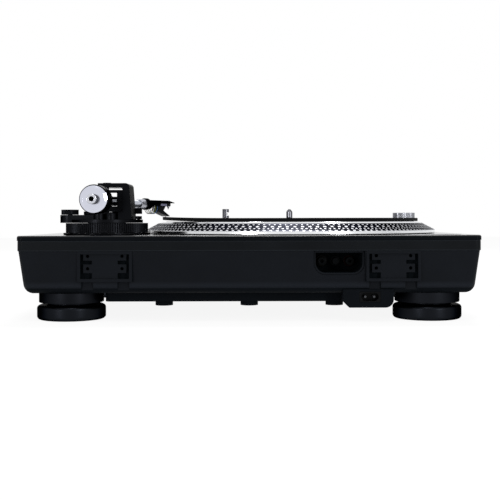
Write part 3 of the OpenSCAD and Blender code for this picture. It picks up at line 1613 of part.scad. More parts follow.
module power_knob() color(silver) translate([tower_pos[0], tower_pos[1], top_z + tower_h + knob_gap]) {
    linear_extrude(knob_h) ribbed_disc(knob_r, fine_ribs, fine_rib_deep);
    post(-knob_stem_len - knob_gap, knob_stem_len + knob_gap + eps, knob_stem_r);
}

module target_light() color(chrome) translate([target_x, target_y, top_z]) difference() {
    post(-target_deep, target_rise + target_deep, target_r);
    translate([-through / 2 - target_window_in, 0, target_rise - target_cap - target_window])
        block(through, 2 * target_r, target_window);
}

module adaptor_45() color(silver) translate([adaptor_pos[0], adaptor_pos[1], tray_top])
    tube(top_z - adaptor_sink - tray_top, adaptor_r, spindle_r + mat_hole_clear);

lower_tub();
upper_chassis();
top_deck();
bottom_plate();
bottom_screws();
foot_collars();
screw_foot(-1, -1);  // foot_front_left
screw_foot(1, -1);  // foot_front_right
screw_foot(-1, 1);  // foot_rear_left
screw_foot(1, 1);  // foot_rear_right
hinge_socket(-1);  // hinge_socket_left
hinge_socket(1);  // hinge_socket_right
jack_box();
output_jacks();
inlet_housing();
mains_socket();
transformer();
circuit_board();
stator();
spindle_bearing();
rotor_magnet();
spindle();
platter();
slipmat();
arm_mount();
height_ring();
arm_base();
height_lock();
bearing_bracket();
pivot_screw();
gimbal_ring();
gimbal_pins();
arm_block();
arm_tube();
arm_stub();
weight_bush();
force_dial();
counterweight();
locking_collar();
headshell();
cartridge();
stylus();
cartridge_screws();
lead_wires();
arm_rest();
arm_clip();
lift_bar();
cue_lever();
antiskate_dial();
start_button();
button_33();
button_45();
quartz_button();
fader_panel();
fader_track();
fader_knob();
strobe_tower();
power_knob();
target_light();
adaptor_45();
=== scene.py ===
"""Dressed model of a direct-drive turntable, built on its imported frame.

Each sub-assembly is a class whose methods build and dress its pieces. Sizes are in millimetres and are taken
from the frame's boxes and joints where they can be, and a finished mesh is scaled to metres when it is put in
the scene. The turntable's front faces -Y, its rear faces +Y and its tonearm is on the +X side.
"""

import json
import logging
import math
from collections.abc import Callable, Sequence
from dataclasses import dataclass
from enum import Enum
from typing import ClassVar

import bmesh
import bpy
from mathutils import Matrix, Vector


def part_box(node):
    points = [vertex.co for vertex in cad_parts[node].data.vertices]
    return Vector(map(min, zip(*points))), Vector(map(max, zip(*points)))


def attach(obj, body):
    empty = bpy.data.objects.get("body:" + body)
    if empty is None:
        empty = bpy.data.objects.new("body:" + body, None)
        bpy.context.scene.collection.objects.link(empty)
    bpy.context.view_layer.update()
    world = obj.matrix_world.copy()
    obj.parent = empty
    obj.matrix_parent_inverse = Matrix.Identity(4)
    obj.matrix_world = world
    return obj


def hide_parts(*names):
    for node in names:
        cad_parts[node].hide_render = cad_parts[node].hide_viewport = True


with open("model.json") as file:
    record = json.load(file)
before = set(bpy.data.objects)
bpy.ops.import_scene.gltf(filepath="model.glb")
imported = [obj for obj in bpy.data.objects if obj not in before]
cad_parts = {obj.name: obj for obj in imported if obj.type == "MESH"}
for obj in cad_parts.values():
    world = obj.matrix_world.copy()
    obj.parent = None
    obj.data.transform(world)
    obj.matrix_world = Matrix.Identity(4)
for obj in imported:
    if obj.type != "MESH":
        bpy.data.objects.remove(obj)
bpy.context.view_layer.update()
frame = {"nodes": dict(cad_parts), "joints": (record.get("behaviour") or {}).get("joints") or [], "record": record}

LOG = logging.getLogger("turntable")
MM = 0.001
PER_METRE = 1000.0
WELD = 0.001
FLAT_ANGLE = math.radians(1.0)
CREASE_ANGLE = math.radians(38.0)
ORIGIN = Vector((0.0, 0.0, 0.0))
UP = Vector((0.0, 0.0, 1.0))
REARWARD = Vector((0.0, 1.0, 0.0))
SIDEWAYS = Vector((1.0, 0.0, 0.0))
WHITE = (1.0, 1.0, 1.0)
DUST_COLOUR = (0.30, 0.30, 0.29)
DUST_SCALE = 900.0
HANDLING_SCALE = 22.0
LEAST_ROUGHNESS = 0.02
LABEL_LENGTH = 60
LABEL_AXIS = 100
ROUND_FACES = 3

BODIES = frame["record"]["behaviour"]["bodies"]
BODY_OF = {node: body for body, nodes in BODIES.items() for node in nodes}
JOINT = {joint["name"]: joint for joint in frame["joints"]}

Colour = tuple[float, float, float]
Place = tuple[float, float, float]
Point = tuple[float, float]
Socket = bpy.types.NodeSocket
Feed = Socket | float | Sequence[float]
Feeds = dict[str | int, Feed]
Mesh = bmesh.types.BMesh
Bar = tuple[Vector, Point, float]


class Effect(Enum):
    """Surface effects that several finishes share, each a node group."""

    GRAIN = "moulded grain"
    HANDLING = "handling marks"
    TURNING = "turning lines"
    BRUSHING = "brushed lines"
    FIBRES = "felt fibres"
    DUST = "settled dust"
    # Paler bands at given heights: painted highlights where lamps would catch bends and seams
    RUB = "painted highlight band"


class Recipe:
    """Node tree of one material or group, with short calls that add and join nodes."""

    noise_roughness: ClassVar[float] = 0.6
    colour_inputs: ClassVar[tuple[int, int]] = (6, 7)
    colour_result: ClassVar[int] = 2

    def __init__(self, tree: bpy.types.NodeTree) -> None:
        """Keeps the tree that the calls add to."""
        self.tree = tree

    def feed(self, socket: Socket, value: Feed) -> None:
        """Joins a socket to another, or sets its value.

        Args:
            socket: The input to feed.
            value: An output to join, or a plain value.
        """
        if isinstance(value, Socket):
            self.tree.links.new(value, socket)
        else:
            socket.default_value = value

    def add(self, kind: str, feeds: Feeds | None = None, **settings: object) -> bpy.types.Node:
        """Adds a node.

        Args:
            kind: The node's type.
            feeds: Values or sockets for its inputs, by name or number.
            settings: The node's own settings.

        Returns:
            The new node.
        """
        node = self.tree.nodes.new(kind)
        for name, value in settings.items():
            setattr(node, name, value)
        for key, value in (feeds or {}).items():
            self.feed(node.inputs[key], value)
        return node

    def math(self, operation: str, first: Feed, second: Feed = 0.0) -> Socket:
        """Works out one step of arithmetic.

        Args:
            operation: The Math node's operation.
            first: Its first value.
            second: Its second value.

        Returns:
            The result.
        """
        return self.add("ShaderNodeMath", {0: first, 1: second}, operation=operation).outputs[0]

    def span(self, value: Feed, low: float, high: float, limits: Point = (0.0, 1.0)) -> Socket:
        """Spreads a value over a new range.

        Args:
            value: What to spread.
            low: Result at the lower limit.
            high: Result at the upper limit.
            limits: Values that give the low and the high result.

        Returns:
            The value in its new range.
        """
        start, end = limits
        feeds = {"Value": value, "From Min": start, "From Max": end, "To Min": low, "To Max": high}
        return self.add("ShaderNodeMapRange", feeds).outputs[0]

    def mix(self, factor: Feed, first: Feed, second: Feed) -> Socket:
        """Mixes two colours.

        Args:
            factor: Share of the second colour.
            first: The first colour.
            second: The second colour.

        Returns:
            The mixed colour.
        """
        one, other = self.colour_inputs
        feeds = {0: factor, one: first, other: second}
        return self.add("ShaderNodeMix", feeds, data_type="RGBA").outputs[self.colour_result]

    def noise(self, vector: Feed, scale: Feed, detail: float) -> Socket:
        """Adds noise over a vector.

        Args:
            vector: Where the noise is read.
            scale: Its scale.
            detail: Its number of octaves.

        Returns:
            The noise, from 0 to 1.
        """
        feeds = {"Vector": vector, "Scale": scale, "Detail": detail, "Roughness": self.noise_roughness}
        return self.add("ShaderNodeTexNoise", feeds).outputs[0]

    def vectors(self, operation: str, feeds: Feeds) -> bpy.types.Node:
        """Adds one step of arithmetic with vectors.

        Args:
            operation: The Vector Math node's operation.
            feeds: Its inputs, by name or number.

        Returns:
            The new node.
        """
        return self.add("ShaderNodeVectorMath", feeds, operation=operation)

    def place(self, centre: Vector, axis: Vector) -> Socket:
        """Gives the object's coordinates, centred and turned on a piece.

        Args:
            centre: The piece's middle in millimetres.
            axis: The direction that becomes Z.

        Returns:
            The coordinates in metres.
        """
        turn = axis.to_track_quat("Z", "Y").to_euler()
        source = self.add("ShaderNodeTexCoord").outputs["Object"]
        feeds = {"Vector": source, "Location": centre * MM, "Rotation": turn}
        return self.add("ShaderNodeMapping", feeds, vector_type="TEXTURE").outputs[0]

    def effect(self, effect: Effect, vector: Feed, scale: float) -> Socket:
        """Places a shared effect.

        Args:
            effect: Which one.
            vector: Where it is read.
            scale: Its features per metre.

        Returns:
            The effect's amount, from 0 to 1.
        """
        feeds = {"Vector": vector, "Scale": scale}
        return self.add("ShaderNodeGroup", feeds, node_tree=EffectNodes.take(effect)).outputs["Amount"]


@dataclass
class EffectNodes:
    """Inside of a shared effect's node group, built by the method that has the effect's name.

    Attributes:
        recipe: The group's nodes.
        vector: Where the effect is read.
        scale: Its features per metre.
    """

    recipe: Recipe
    vector: Socket
    scale: Socket
    plain_detail: ClassVar[float] = 3.0
    handling_detail: ClassVar[float] = 5.0
    turning_detail: ClassVar[float] = 2.0
    dust_detail: ClassVar[float] = 4.0
    pit_depth: ClassVar[float] = 0.5
    pit_edge: ClassVar[Point] = (0.0, 0.8)
    patches: ClassVar[Point] = (0.36, 0.68)
    specks: ClassVar[Point] = (0.62, 0.75)
    facing_up: ClassVar[Point] = (0.6, 0.95)
    flatten: ClassVar[Place] = (1.0, 1.0, 0.0)
    brushed: ClassVar[float] = 0.02
    fibre: ClassVar[float] = 0.15
    rub_scale: ClassVar[float] = 30.0
    rub_least: ClassVar[float] = 0.75

    @classmethod
    def take(cls, effect: Effect) -> bpy.types.NodeTree:
        """Finds the node group of an effect, or builds it the first time.

        Args:
            effect: Which one.

        Returns:
            The effect's node group.
        """
        found = bpy.data.node_groups.get(effect.value)
        if found:
            return found
        tree = bpy.data.node_groups.new(effect.value, "ShaderNodeTree")
        tree.interface.new_socket("Vector", in_out="INPUT", socket_type="NodeSocketVector")
        tree.interface.new_socket("Scale", in_out="INPUT", socket_type="NodeSocketFloat")
        tree.interface.new_socket("Amount", in_out="OUTPUT", socket_type="NodeSocketFloat")
        recipe = Recipe(tree)
        inlet = recipe.add("NodeGroupInput")
        outlet = recipe.add("NodeGroupOutput")
        nodes = cls(recipe, inlet.outputs["Vector"], inlet.outputs["Scale"])
        build = getattr(nodes, effect.name.lower())
        recipe.feed(outlet.inputs["Amount"], build())
        return tree

    def stretched(self, *stretch: float) -> Socket:
        """Gives noise that is drawn out along some axes.

        Args:
            stretch: Its share of the scale along each axis.

        Returns:
            The noise.
        """
        sized = self.recipe.vectors("SCALE", {0: self.vector, "Scale": self.scale}).outputs[0]
        drawn = self.recipe.vectors("MULTIPLY", {0: sized, 1: stretch}).outputs[0]
        return self.recipe.noise(drawn, 1.0, self.plain_detail)

    def grain(self) -> Socket:
        """Makes the spark-eroded grain of a mould: fine noise broken up by small pits.

        Returns:
            The effect's amount.
        """
        fine = self.recipe.noise(self.vector, self.scale, self.plain_detail)
        feeds = {"Vector": self.vector, "Scale": self.scale}
        pits = self.recipe.add("ShaderNodeTexVoronoi", feeds).outputs["Distance"]
        broken = self.recipe.span(pits, self.pit_depth, 1.0, self.pit_edge)
        return self.recipe.math("MULTIPLY", fine, broken)

    def handling(self) -> Socket:
        """Makes faint marks of hands and cloths, in soft patches."""
        noise = self.recipe.noise(self.vector, self.scale, self.handling_detail)
        return self.recipe.span(noise, 0.0, 1.0, self.patches)

    def turning(self) -> Socket:
        """Makes the rings that a lathe's tool leaves around Z.

        Returns:
            The effect's amount.
        """
        flat = self.recipe.vectors("MULTIPLY", {0: self.vector, 1: self.flatten}).outputs[0]
        radius = self.recipe.vectors("LENGTH", {0: flat}).outputs["Value"]
        feeds = {"W": radius, "Scale": self.scale, "Detail": self.turning_detail}
        return self.recipe.add("ShaderNodeTexNoise", feeds, noise_dimensions="1D").outputs[0]

    def brushing(self) -> Socket:
        """Makes the straight lines that a belt leaves along X."""
        return self.stretched(self.brushed, 1.0, 1.0)

    def fibres(self) -> Socket:
        """Makes pressed fibres that lie across each other."""
        along, across = self.stretched(self.fibre, 1.0, 1.0), self.stretched(1.0, self.fibre, 1.0)
        return self.recipe.math("MAXIMUM", along, across)

    def dust(self) -> Socket:
        """Makes specks of dust on what faces up.

        Returns:
            The effect's amount.
        """
        normal = self.recipe.add("ShaderNodeNewGeometry").outputs["Normal"]
        level = self.recipe.add("ShaderNodeSeparateXYZ", {0: normal}).outputs["Z"]
        noise = self.recipe.noise(self.vector, self.scale, self.dust_detail)
        specks = self.recipe.span(noise, 0.0, 1.0, self.specks)
        return self.recipe.math("MULTIPLY", specks, self.recipe.span(level, 0.0, 1.0, self.facing_up))

    def rub(self) -> Socket:
        """Makes a painted highlight band about Z = 0, a little uneven.

        Returns:
            The effect's amount.
        """
        level = self.recipe.add("ShaderNodeSeparateXYZ", {0: self.vector}).outputs["Z"]
        away = self.recipe.math("MULTIPLY", self.recipe.math("ABSOLUTE", level), self.scale)
        noise = self.recipe.noise(self.vector, self.rub_scale, self.plain_detail)
        uneven = self.recipe.span(noise, self.rub_least, 1.0)
        return self.recipe.math("MULTIPLY", self.recipe.span(away, 1.0, 0.0), uneven)


@dataclass(frozen=True)
class Finish:
    """A surface finish, with its texture at real scale.

    Attributes:
        name: What a maker would call it.
        colour: Its base colour, linear.
        roughness: Its middle roughness.
        specular: Level of its gloss.
        metallic: 1 for bare metal.
        texture: The effect that gives its relief.
        scale: Features of the texture per metre.
        depth: Depth of the texture in millimetres.
        marks: Swing of the roughness where it has been handled.
        lift: How much paler it is there.
        dust: Share of settled dust.
        sheen: Weight of its sheen.
        coat: Weight of a clear coat.
        edge_tint: Share of a metal's reflection that is left near its outline.
        rub: How much paler its painted highlight bands are.
        rub_levels: Heights of those painted highlight bands in millimetres.
        rub_half: Half of a painted highlight band's width in millimetres.
    """

    name: str
    colour: Colour
    roughness: float = 0.5
    specular: float = 0.1
    metallic: float = 0.0
    texture: Effect = Effect.GRAIN
    scale: float = 1400.0
    depth: float = 0.02
    marks: float = 0.08
    lift: float = 0.25
    dust: float = 0.0
    sheen: float = 0.0
    coat: float = 0.0
    edge_tint: float = 1.0
    rub: float = 0.0
    rub_levels: tuple[float, ...] = ()
    rub_half: float = 1.0

    def material(self, centre: Vector = ORIGIN, axis: Vector = UP) -> bpy.types.Material:
        """Finds or builds the finish's material for a piece.

        Args:
            centre: The piece's middle in millimetres, for turned work.
            axis: The direction of its turning axis.

        Returns:
            The material.
        """
        spot = " ".join(f"{value:.0f}" for value in (*centre, *(axis * LABEL_AXIS)))
        label = f"{self.name} {spot}"[:LABEL_LENGTH]
        found = bpy.data.materials.get(label)
        if found:
            return found
        material = bpy.data.materials.new(label)
        material.use_nodes = True
        recipe = Recipe(material.node_tree)
        shader = material.node_tree.nodes["Principled BSDF"]
        place = recipe.place(centre, axis)
        relief = recipe.effect(self.texture, place, self.scale)
        marks = recipe.effect(Effect.HANDLING, place, HANDLING_SCALE)
        pale = tuple(min(1.0, value * (1.0 + self.lift)) for value in self.colour)
        tint = recipe.mix(marks, (*self.colour, 1.0), (*pale, 1.0))
        # Painted highlights: paler bands at given heights, standing in for lamp light on bends and seams
        highlighted = tuple(value * (1.0 + self.rub) for value in self.colour)
        for level in self.rub_levels:
            band = recipe.effect(Effect.RUB, recipe.place(UP * level, UP), PER_METRE / self.rub_half)
            tint = recipe.mix(band, tint, (*highlighted, 1.0))
        if self.dust > 0.0:
            settled = recipe.math("MULTIPLY", recipe.effect(Effect.DUST, place, DUST_SCALE), self.dust)
            tint = recipe.mix(settled, tint, (*DUST_COLOUR, 1.0))
        smoothest = max(LEAST_ROUGHNESS, self.roughness - self.marks)
        bump = recipe.add("ShaderNodeBump", {"Height": relief, "Strength": 1.0, "Distance": self.depth * MM})
        feeds = {
            "Base Color": tint,
            "Roughness": recipe.span(marks, smoothest, self.roughness + self.marks),
            "Normal": bump.outputs[0],
            "Metallic": self.metallic,
            "Specular IOR Level": self.specular,
            "Sheen Weight": self.sheen,
            "Coat Weight": self.coat,
            "Specular Tint": (*(self.edge_tint,) * 3, 1.0),
        }
        for name, value in feeds.items():
            recipe.feed(shader.inputs[name], value)
        return material


@dataclass(frozen=True)
class MouldedPlastic(Finish):
    """Moulded plastic with the mould's grain."""

    roughness: float = 0.5
    specular: float = 0.04


@dataclass(frozen=True)
class GlossPlastic(Finish):
    """Smooth plastic out of a polished mould."""

    roughness: float = 0.22
    specular: float = 0.25
    scale: float = 300.0
    depth: float = 0.004


@dataclass(frozen=True)
class TurnedMetal(Finish):
    """Metal that was turned on a lathe."""

    roughness: float = 0.24
    specular: float = 0.5
    metallic: float = 1.0
    texture: Effect = Effect.TURNING
    scale: float = 2500.0
    depth: float = 0.006
    marks: float = 0.05
    lift: float = 0.06


@dataclass(frozen=True)
class BrushedMetal(TurnedMetal):
    """Metal that was brushed along X."""

    roughness: float = 0.3
    texture: Effect = Effect.BRUSHING
    depth: float = 0.008


@dataclass(frozen=True)
class DeepBlack(Finish):
    """Black anodised, painted or polished skin with a faint gloss, which stays dark at its outline."""

    roughness: float = 0.34
    metallic: float = 1.0
    depth: float = 0.006
    edge_tint: float = 0.1


@dataclass(frozen=True)
class Felt(Finish):
    """Pressed felt."""

    roughness: float = 0.92
    specular: float = 0.03
    texture: Effect = Effect.FIBRES
    scale: float = 1800.0
    depth: float = 0.25
    sheen: float = 0.04
    lift: float = 0.8
    marks: float = 0.04


CASE_PLASTIC = MouldedPlastic("case plastic", (0.0050, 0.0060, 0.0080), roughness=0.52, dust=0.05)
# The tub's paler band along its lower bend is a painted highlight
TUB_PLASTIC = MouldedPlastic(
    "tub plastic", (0.0050, 0.0060, 0.0080), roughness=0.52, rub=1.2, rub_levels=(35.8,), rub_half=4.2
)
# The band's paler lines along its top and bottom seams are painted highlights
BAND_PLASTIC = MouldedPlastic(
    "band plastic", (0.0046, 0.0055, 0.0067), roughness=0.42, scale=1800.0, depth=0.012,
    rub=2.6, rub_levels=(79.0, 69.8), rub_half=0.6,
)
DECK_LACQUER = GlossPlastic(
    "deck lacquer", (0.0034, 0.0042, 0.0055), roughness=0.14, specular=0.015, depth=0.001
)
DECK_TOP = GlossPlastic(
    "deck top lacquer", (0.0034, 0.0042, 0.0055), roughness=0.1, specular=0.4, dust=0.08,
    scale=220.0, depth=0.001, marks=0.04,
)
# The pan's darker plastic, also laid on the tub's downward faces as painted shade
PAN_AND_PAINTED_SHADE_PLASTIC = MouldedPlastic("pan plastic", (0.0036, 0.0046, 0.0060), roughness=0.6, specular=0.015)
INLET_PLASTIC = MouldedPlastic("inlet plastic", (0.0038, 0.0047, 0.0062), roughness=0.55, specular=0.015)
# Darker plastic laid as painted shade inside pockets, holes and recesses
PAINTED_SHADE_PLASTIC = MouldedPlastic("recess plastic", (0.0036, 0.0050, 0.0062), roughness=0.75, specular=0.01)
FOOT_RUBBER = DeepBlack("foot rubber", (0.0080, 0.0090, 0.0112), roughness=0.36, depth=0.008)
COLLAR_PLASTIC = DeepBlack("collar plastic", (0.0080, 0.0088, 0.0108), roughness=0.46, depth=0.006)
TRIM_PLASTIC = MouldedPlastic(
    "trim plastic", (0.0036, 0.0041, 0.0049), roughness=0.36, specular=0.06, depth=0.008
)
ARM_BLACK = DeepBlack("arm black", (0.0062, 0.0066, 0.0078))
ARM_GLOSS = DeepBlack("arm gloss black", (0.0050, 0.0054, 0.0064), roughness=0.2, depth=0.002, edge_tint=0.0)
CARTRIDGE_PLASTIC = GlossPlastic("cartridge plastic", (0.0028, 0.0031, 0.0038), specular=0.015)
SOCKET_PLASTIC = GlossPlastic("socket plastic", (0.0030, 0.0032, 0.0038), specular=0.05)
PLATTER_METAL = TurnedMetal("platter metal", (0.78, 0.79, 0.81), roughness=0.2)
PLATTER_BAND = TurnedMetal("platter band", (0.036, 0.037, 0.044), roughness=0.22, edge_tint=0.3)
DOT_METAL = TurnedMetal("strobe dot metal", (0.50, 0.505, 0.53), roughness=0.5, edge_tint=0.1)
# Chrome's colour is darkened to stand in for dark surroundings in its reflection: a painted reflection
CHROME_DARKENED_AS_REFLECTION = TurnedMetal("chrome", (0.12, 0.122, 0.135), roughness=0.08, depth=0.001, marks=0.03, edge_tint=0.1)
STUB_CHROME = TurnedMetal("stub chrome", (0.58, 0.59, 0.64), roughness=0.12, depth=0.001, edge_tint=0.2)
ARM_METAL = TurnedMetal("arm metal", (0.50, 0.52, 0.57), roughness=0.16, depth=0.002, edge_tint=0.45)
WEIGHT_METAL = TurnedMetal(
    "weight face metal", (0.61, 0.625, 0.71), roughness=0.14, scale=4000.0, depth=0.002
)
SCREW_STEEL = TurnedMetal("screw steel", (0.30, 0.31, 0.34), roughness=0.3)
PIN_STEEL = TurnedMetal("pin steel", (0.055, 0.057, 0.062), roughness=0.35)
KNOB_METAL = TurnedMetal("knob metal", (0.26, 0.265, 0.29), roughness=0.26, edge_tint=0.2)
BUTTON_METAL = BrushedMetal("button metal", (0.30, 0.305, 0.325), roughness=0.52)
TRACK_STEEL = BrushedMetal("track steel", (0.30, 0.31, 0.33), roughness=0.4)
BRASS = TurnedMetal("brass", (0.55, 0.40, 0.16), roughness=0.28)
# The jacks are darkened to painted shade, so the recess reads all dark
JACK_NICKEL_PAINTED_SHADE = TurnedMetal("black jack nickel", (0.0048, 0.0052, 0.0056), roughness=0.45, edge_tint=0.3)
FERRITE = MouldedPlastic("ferrite", (0.035, 0.035, 0.04), roughness=0.6, specular=0.3)
LAMINATIONS = BrushedMetal("core laminations", (0.14, 0.11, 0.08), roughness=0.5, scale=1600.0)
SOLDER_MASK = GlossPlastic("solder mask", (0.015, 0.09, 0.04), roughness=0.35)
MAT_FELT = Felt("mat felt", (0.0030, 0.0031, 0.0036))
LILAC_PLASTIC = GlossPlastic("lilac plastic", (0.17, 0.17, 0.25), roughness=0.5, specular=0.1)
WINDOW_RED = GlossPlastic("window red", (0.12, 0.006, 0.005), roughness=0.12, coat=0.5)
LAMP_LENS = GlossPlastic("lamp lens", (0.55, 0.52, 0.44), roughness=0.15, coat=0.4)
GREEN_LENS = GlossPlastic("green lens", (0.02, 0.20, 0.05), roughness=0.15, coat=0.4)
MARK_PAINT = MouldedPlastic("mark paint", (0.55, 0.56, 0.58), roughness=0.6, depth=0.004)
# The jack rings are darkened to painted shade of the recess
JACK_RED_PAINTED_SHADE = GlossPlastic("jack red", (0.0080, 0.0015, 0.0015), specular=0.015)
JACK_WHITE_PAINTED_SHADE = GlossPlastic("jack white", (0.0080, 0.0080, 0.0076), specular=0.015)
WIRE_COATS = (
    GlossPlastic("pale wire coat", (0.62, 0.56, 0.50), roughness=0.4),
    GlossPlastic("white wire coat", (0.80, 0.80, 0.82), roughness=0.4),
    GlossPlastic("olive wire coat", (0.20, 0.22, 0.06), roughness=0.4),
    GlossPlastic("blue wire coat", (0.02, 0.07, 0.19), roughness=0.4),
)


def span(node: str) -> tuple[Vector, Vector]:
    """Gives a node's lowest and highest corners in millimetres."""
    low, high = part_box(node)
    return low * PER_METRE, high * PER_METRE


def middle(node: str) -> Vector:
    """Gives the middle of a node's box in millimetres."""
    low, high = span(node)
    return (low + high) / 2


def top(node: str) -> Vector:
    """Gives the middle of the top of a node's box in millimetres."""
    centre = middle(node)
    return Vector((centre.x, centre.y, span(node)[1].z))


def upright(node: str) -> Vector:
    """Gives the spot on the table under the middle of a node, in millimetres."""
    centre = middle(node)
    return Vector((centre.x, centre.y, 0.0))


def arc(centre: Point, radius: float, start: float, end: float, steps: int = 6) -> list[Point]:
    """Lists the points of an arc.

    Args:
        centre: The arc's centre.
        radius: Its radius.
        start: Where it starts, in degrees from the first axis.
        end: Where it ends.
        steps: Its number of straight pieces.

    Returns:
        The points, both ends among them.
    """
    angles = [math.radians(start + (end - start) * step / steps) for step in range(steps + 1)]
    return [(centre[0] + radius * math.cos(a), centre[1] + radius * math.sin(a)) for a in angles]


def lathe(profile: Sequence[Point], steps: int, ring: bool = False) -> Mesh:
    """Turns a profile about Z.

    Args:
        profile: Points as (radius, height).
        steps: Number of faces around the axis.
        ring: Whether the profile's last point joins its first.

    Returns:
        The turned mesh, merged and facing outward.
    """
    mesh = bmesh.new()
    points = [mesh.verts.new((radius, 0.0, height)) for radius, height in profile]
    chain = [*points, points[0]] if ring else points
    edges = [mesh.edges.new(pair) for pair in zip(chain, chain[1:])]
    bmesh.ops.spin(
        mesh, geom=[*points, *edges], axis=UP, cent=ORIGIN, angle=2 * math.pi, steps=steps, use_merge=True
    )
    bmesh.ops.remove_doubles(mesh, verts=mesh.verts, dist=WELD)
    bmesh.ops.recalc_face_normals(mesh, faces=mesh.faces)
    return mesh


def bars(places: Sequence[Bar], thick: float) -> Mesh:
    """Makes thin flat bars, for painted and inlaid marks.

    Args:
        places: Each bar's middle, its size along X and Y before its turn, and its turn about Z in radians.
        thick: The bars' thickness.

    Returns:
        The bars in one mesh.
    """
    mesh = bmesh.new()
    for centre, size, turn in places:
        made = bmesh.ops.create_cube(mesh, size=1.0)["verts"]
        bmesh.ops.scale(mesh, vec=(*size, thick), verts=made)
        bmesh.ops.rotate(mesh, cent=ORIGIN, matrix=Matrix.Rotation(turn, 3, "Z"), verts=made)
        bmesh.ops.translate(mesh, vec=centre, verts=made)
    return mesh


def ring_of_bars(radius: float, size: Point, angles: Sequence[float], thick: float) -> Mesh:
    """Makes a ring of bars that point away from Z.

    Args:
        radius: The radius of the bars' middles.
        size: Each bar's length along the radius, and its width.
        angles: Where the bars are, in degrees.
        thick: The bars' thickness.

    Returns:
        The bars in one mesh.
    """
    turns = [math.radians(angle) for angle in angles]
    return bars([(Vector((math.cos(a), math.sin(a), 0.0)) * radius, size, a) for a in turns], thick)


def stand(mesh: Mesh, base: Vector, axis: Vector = UP) -> Mesh:
    """Turns a mesh's Z to an axis and moves it to its base.

    Args:
        mesh: What to move.
        base: Where its origin goes.
        axis: Where its Z points.

    Returns:
        The same mesh.
    """
    turn = UP.rotation_difference(axis).to_matrix().to_4x4()
    bmesh.ops.transform(mesh, matrix=Matrix.Translation(base) @ turn, verts=mesh.verts)
    return mesh


def soften(
    mesh: Mesh,
    width: float,
    segments: int = 2,
    pick: Callable[[bmesh.types.BMEdge], bool] | None = None,
) -> Mesh:
    """Rounds the sharp edges of a mesh.

    Args:
        mesh: What to round.
        width: Width of the rounding.
        segments: Its number of faces.
        pick: A test that chooses among the sharp edges.

    Returns:
        The same mesh.
    """
    inner = [edge for edge in mesh.edges if len(edge.link_faces) == 2]
    sharp = [edge for edge in inner if edge.calc_face_angle(0.0) > CREASE_ANGLE]
    chosen = [edge for edge in sharp if pick is None or pick(edge)]
    bmesh.ops.bevel(
        mesh, geom=chosen, offset=width, offset_type="OFFSET", segments=segments, profile=0.5,
        affect="EDGES", material=-1, clamp_overlap=True, loop_slide=True,
    )
    return mesh


def cad_copy(node: str) -> Mesh:
    """Copies a node's mesh, with its triangles merged into whole faces.

    Args:
        node: Which node.

    Returns:
        The copy in millimetres.
    """
    mesh = bmesh.new()
    mesh.from_mesh(frame["nodes"][node].data)
    bmesh.ops.scale(mesh, vec=(PER_METRE,) * 3, verts=mesh.verts)
    bmesh.ops.remove_doubles(mesh, verts=mesh.verts, dist=WELD)
    bmesh.ops.dissolve_limit(mesh, angle_limit=FLAT_ANGLE, verts=mesh.verts, edges=mesh.edges)
    return mesh


def put(
    mesh: Mesh,
    name: str,
    body: str,
    materials: Sequence[bpy.types.Material],
    stands_for: Sequence[str] = (),
) -> bpy.types.Object:
    """Puts a finished mesh in the scene.

    Args:
        mesh: The piece in millimetres, which is used up.
        name: The piece's name.
        body: The body that it rides on.
        materials: Its materials, in the order of its faces' numbers.
        stands_for: The nodes that it replaces.

    Returns:
        The piece's object.
    """
    bmesh.ops.scale(mesh, vec=(MM,) * 3, verts=mesh.verts)
    for edge in mesh.edges:
        edge.smooth = len(edge.link_faces) == 2 and edge.calc_face_angle(0.0) < CREASE_ANGLE
    for face in mesh.faces:
        face.smooth = True
    data = bpy.data.meshes.new(name)
    mesh.to_mesh(data)
    mesh.free()
    for material in materials:
        data.materials.append(material)
    piece = bpy.data.objects.new(name, data)
    bpy.context.scene.collection.objects.link(piece)
    shading = piece.modifiers.new("flat faces, soft edges", "WEIGHTED_NORMAL")
    shading.keep_sharp = True
    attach(piece, body)
    if stands_for:
        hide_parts(*stands_for)
    LOG.info("%s: %d faces on %s", name, len(data.polygons), body)
    return piece


def add_trim(mesh: Mesh, name: str, body: str, finish: Finish) -> None:
    """Puts in a small added piece of one finish."""
    put(mesh, name, body, [finish.material()])


def dress(
    node: str,
    finish: Finish,
    edge: float,
    segments: int = 2,
    axis: Vector = UP,
    second: Finish | None = None,
    pick: Callable[[Vector], bool] | None = None,
) -> bpy.types.Object:
    """Copies a node, rounds its sharp edges and gives it a finish.

    Args:
        node: Which node.
        finish: Its finish.
        edge: Width of the rounding.
        segments: The rounding's number of faces.
        axis: The direction of its turning axis.
        second: A finish for some of its faces.
        pick: A test of a face's middle, which chooses those faces.

    Returns:
        The piece that stands for the node.
    """
    mesh = cad_copy(node)
    if edge > 0.0:
        soften(mesh, edge, segments)
    materials = [finish.material(middle(node), axis)]
    if second and pick:
        materials.append(second.material(middle(node), axis))
        for face in mesh.faces:
            face.material_index = int(pick(face.calc_center_median()))
    return put(mesh, f"{node}_finished", BODY_OF[node], materials, [node])


def coat(node: str, finish: Finish, axis: Vector = UP) -> None:
    """Gives a node that keeps its own mesh a finish.

    Args:
        node: Which node.
        finish: Its finish.
        axis: The direction of its turning axis.
    """
    slots = frame["nodes"][node].data.materials
    slots.clear()
    slots.append(finish.material(middle(node), axis))
    LOG.info("%s: own mesh, %s", node, finish.name)


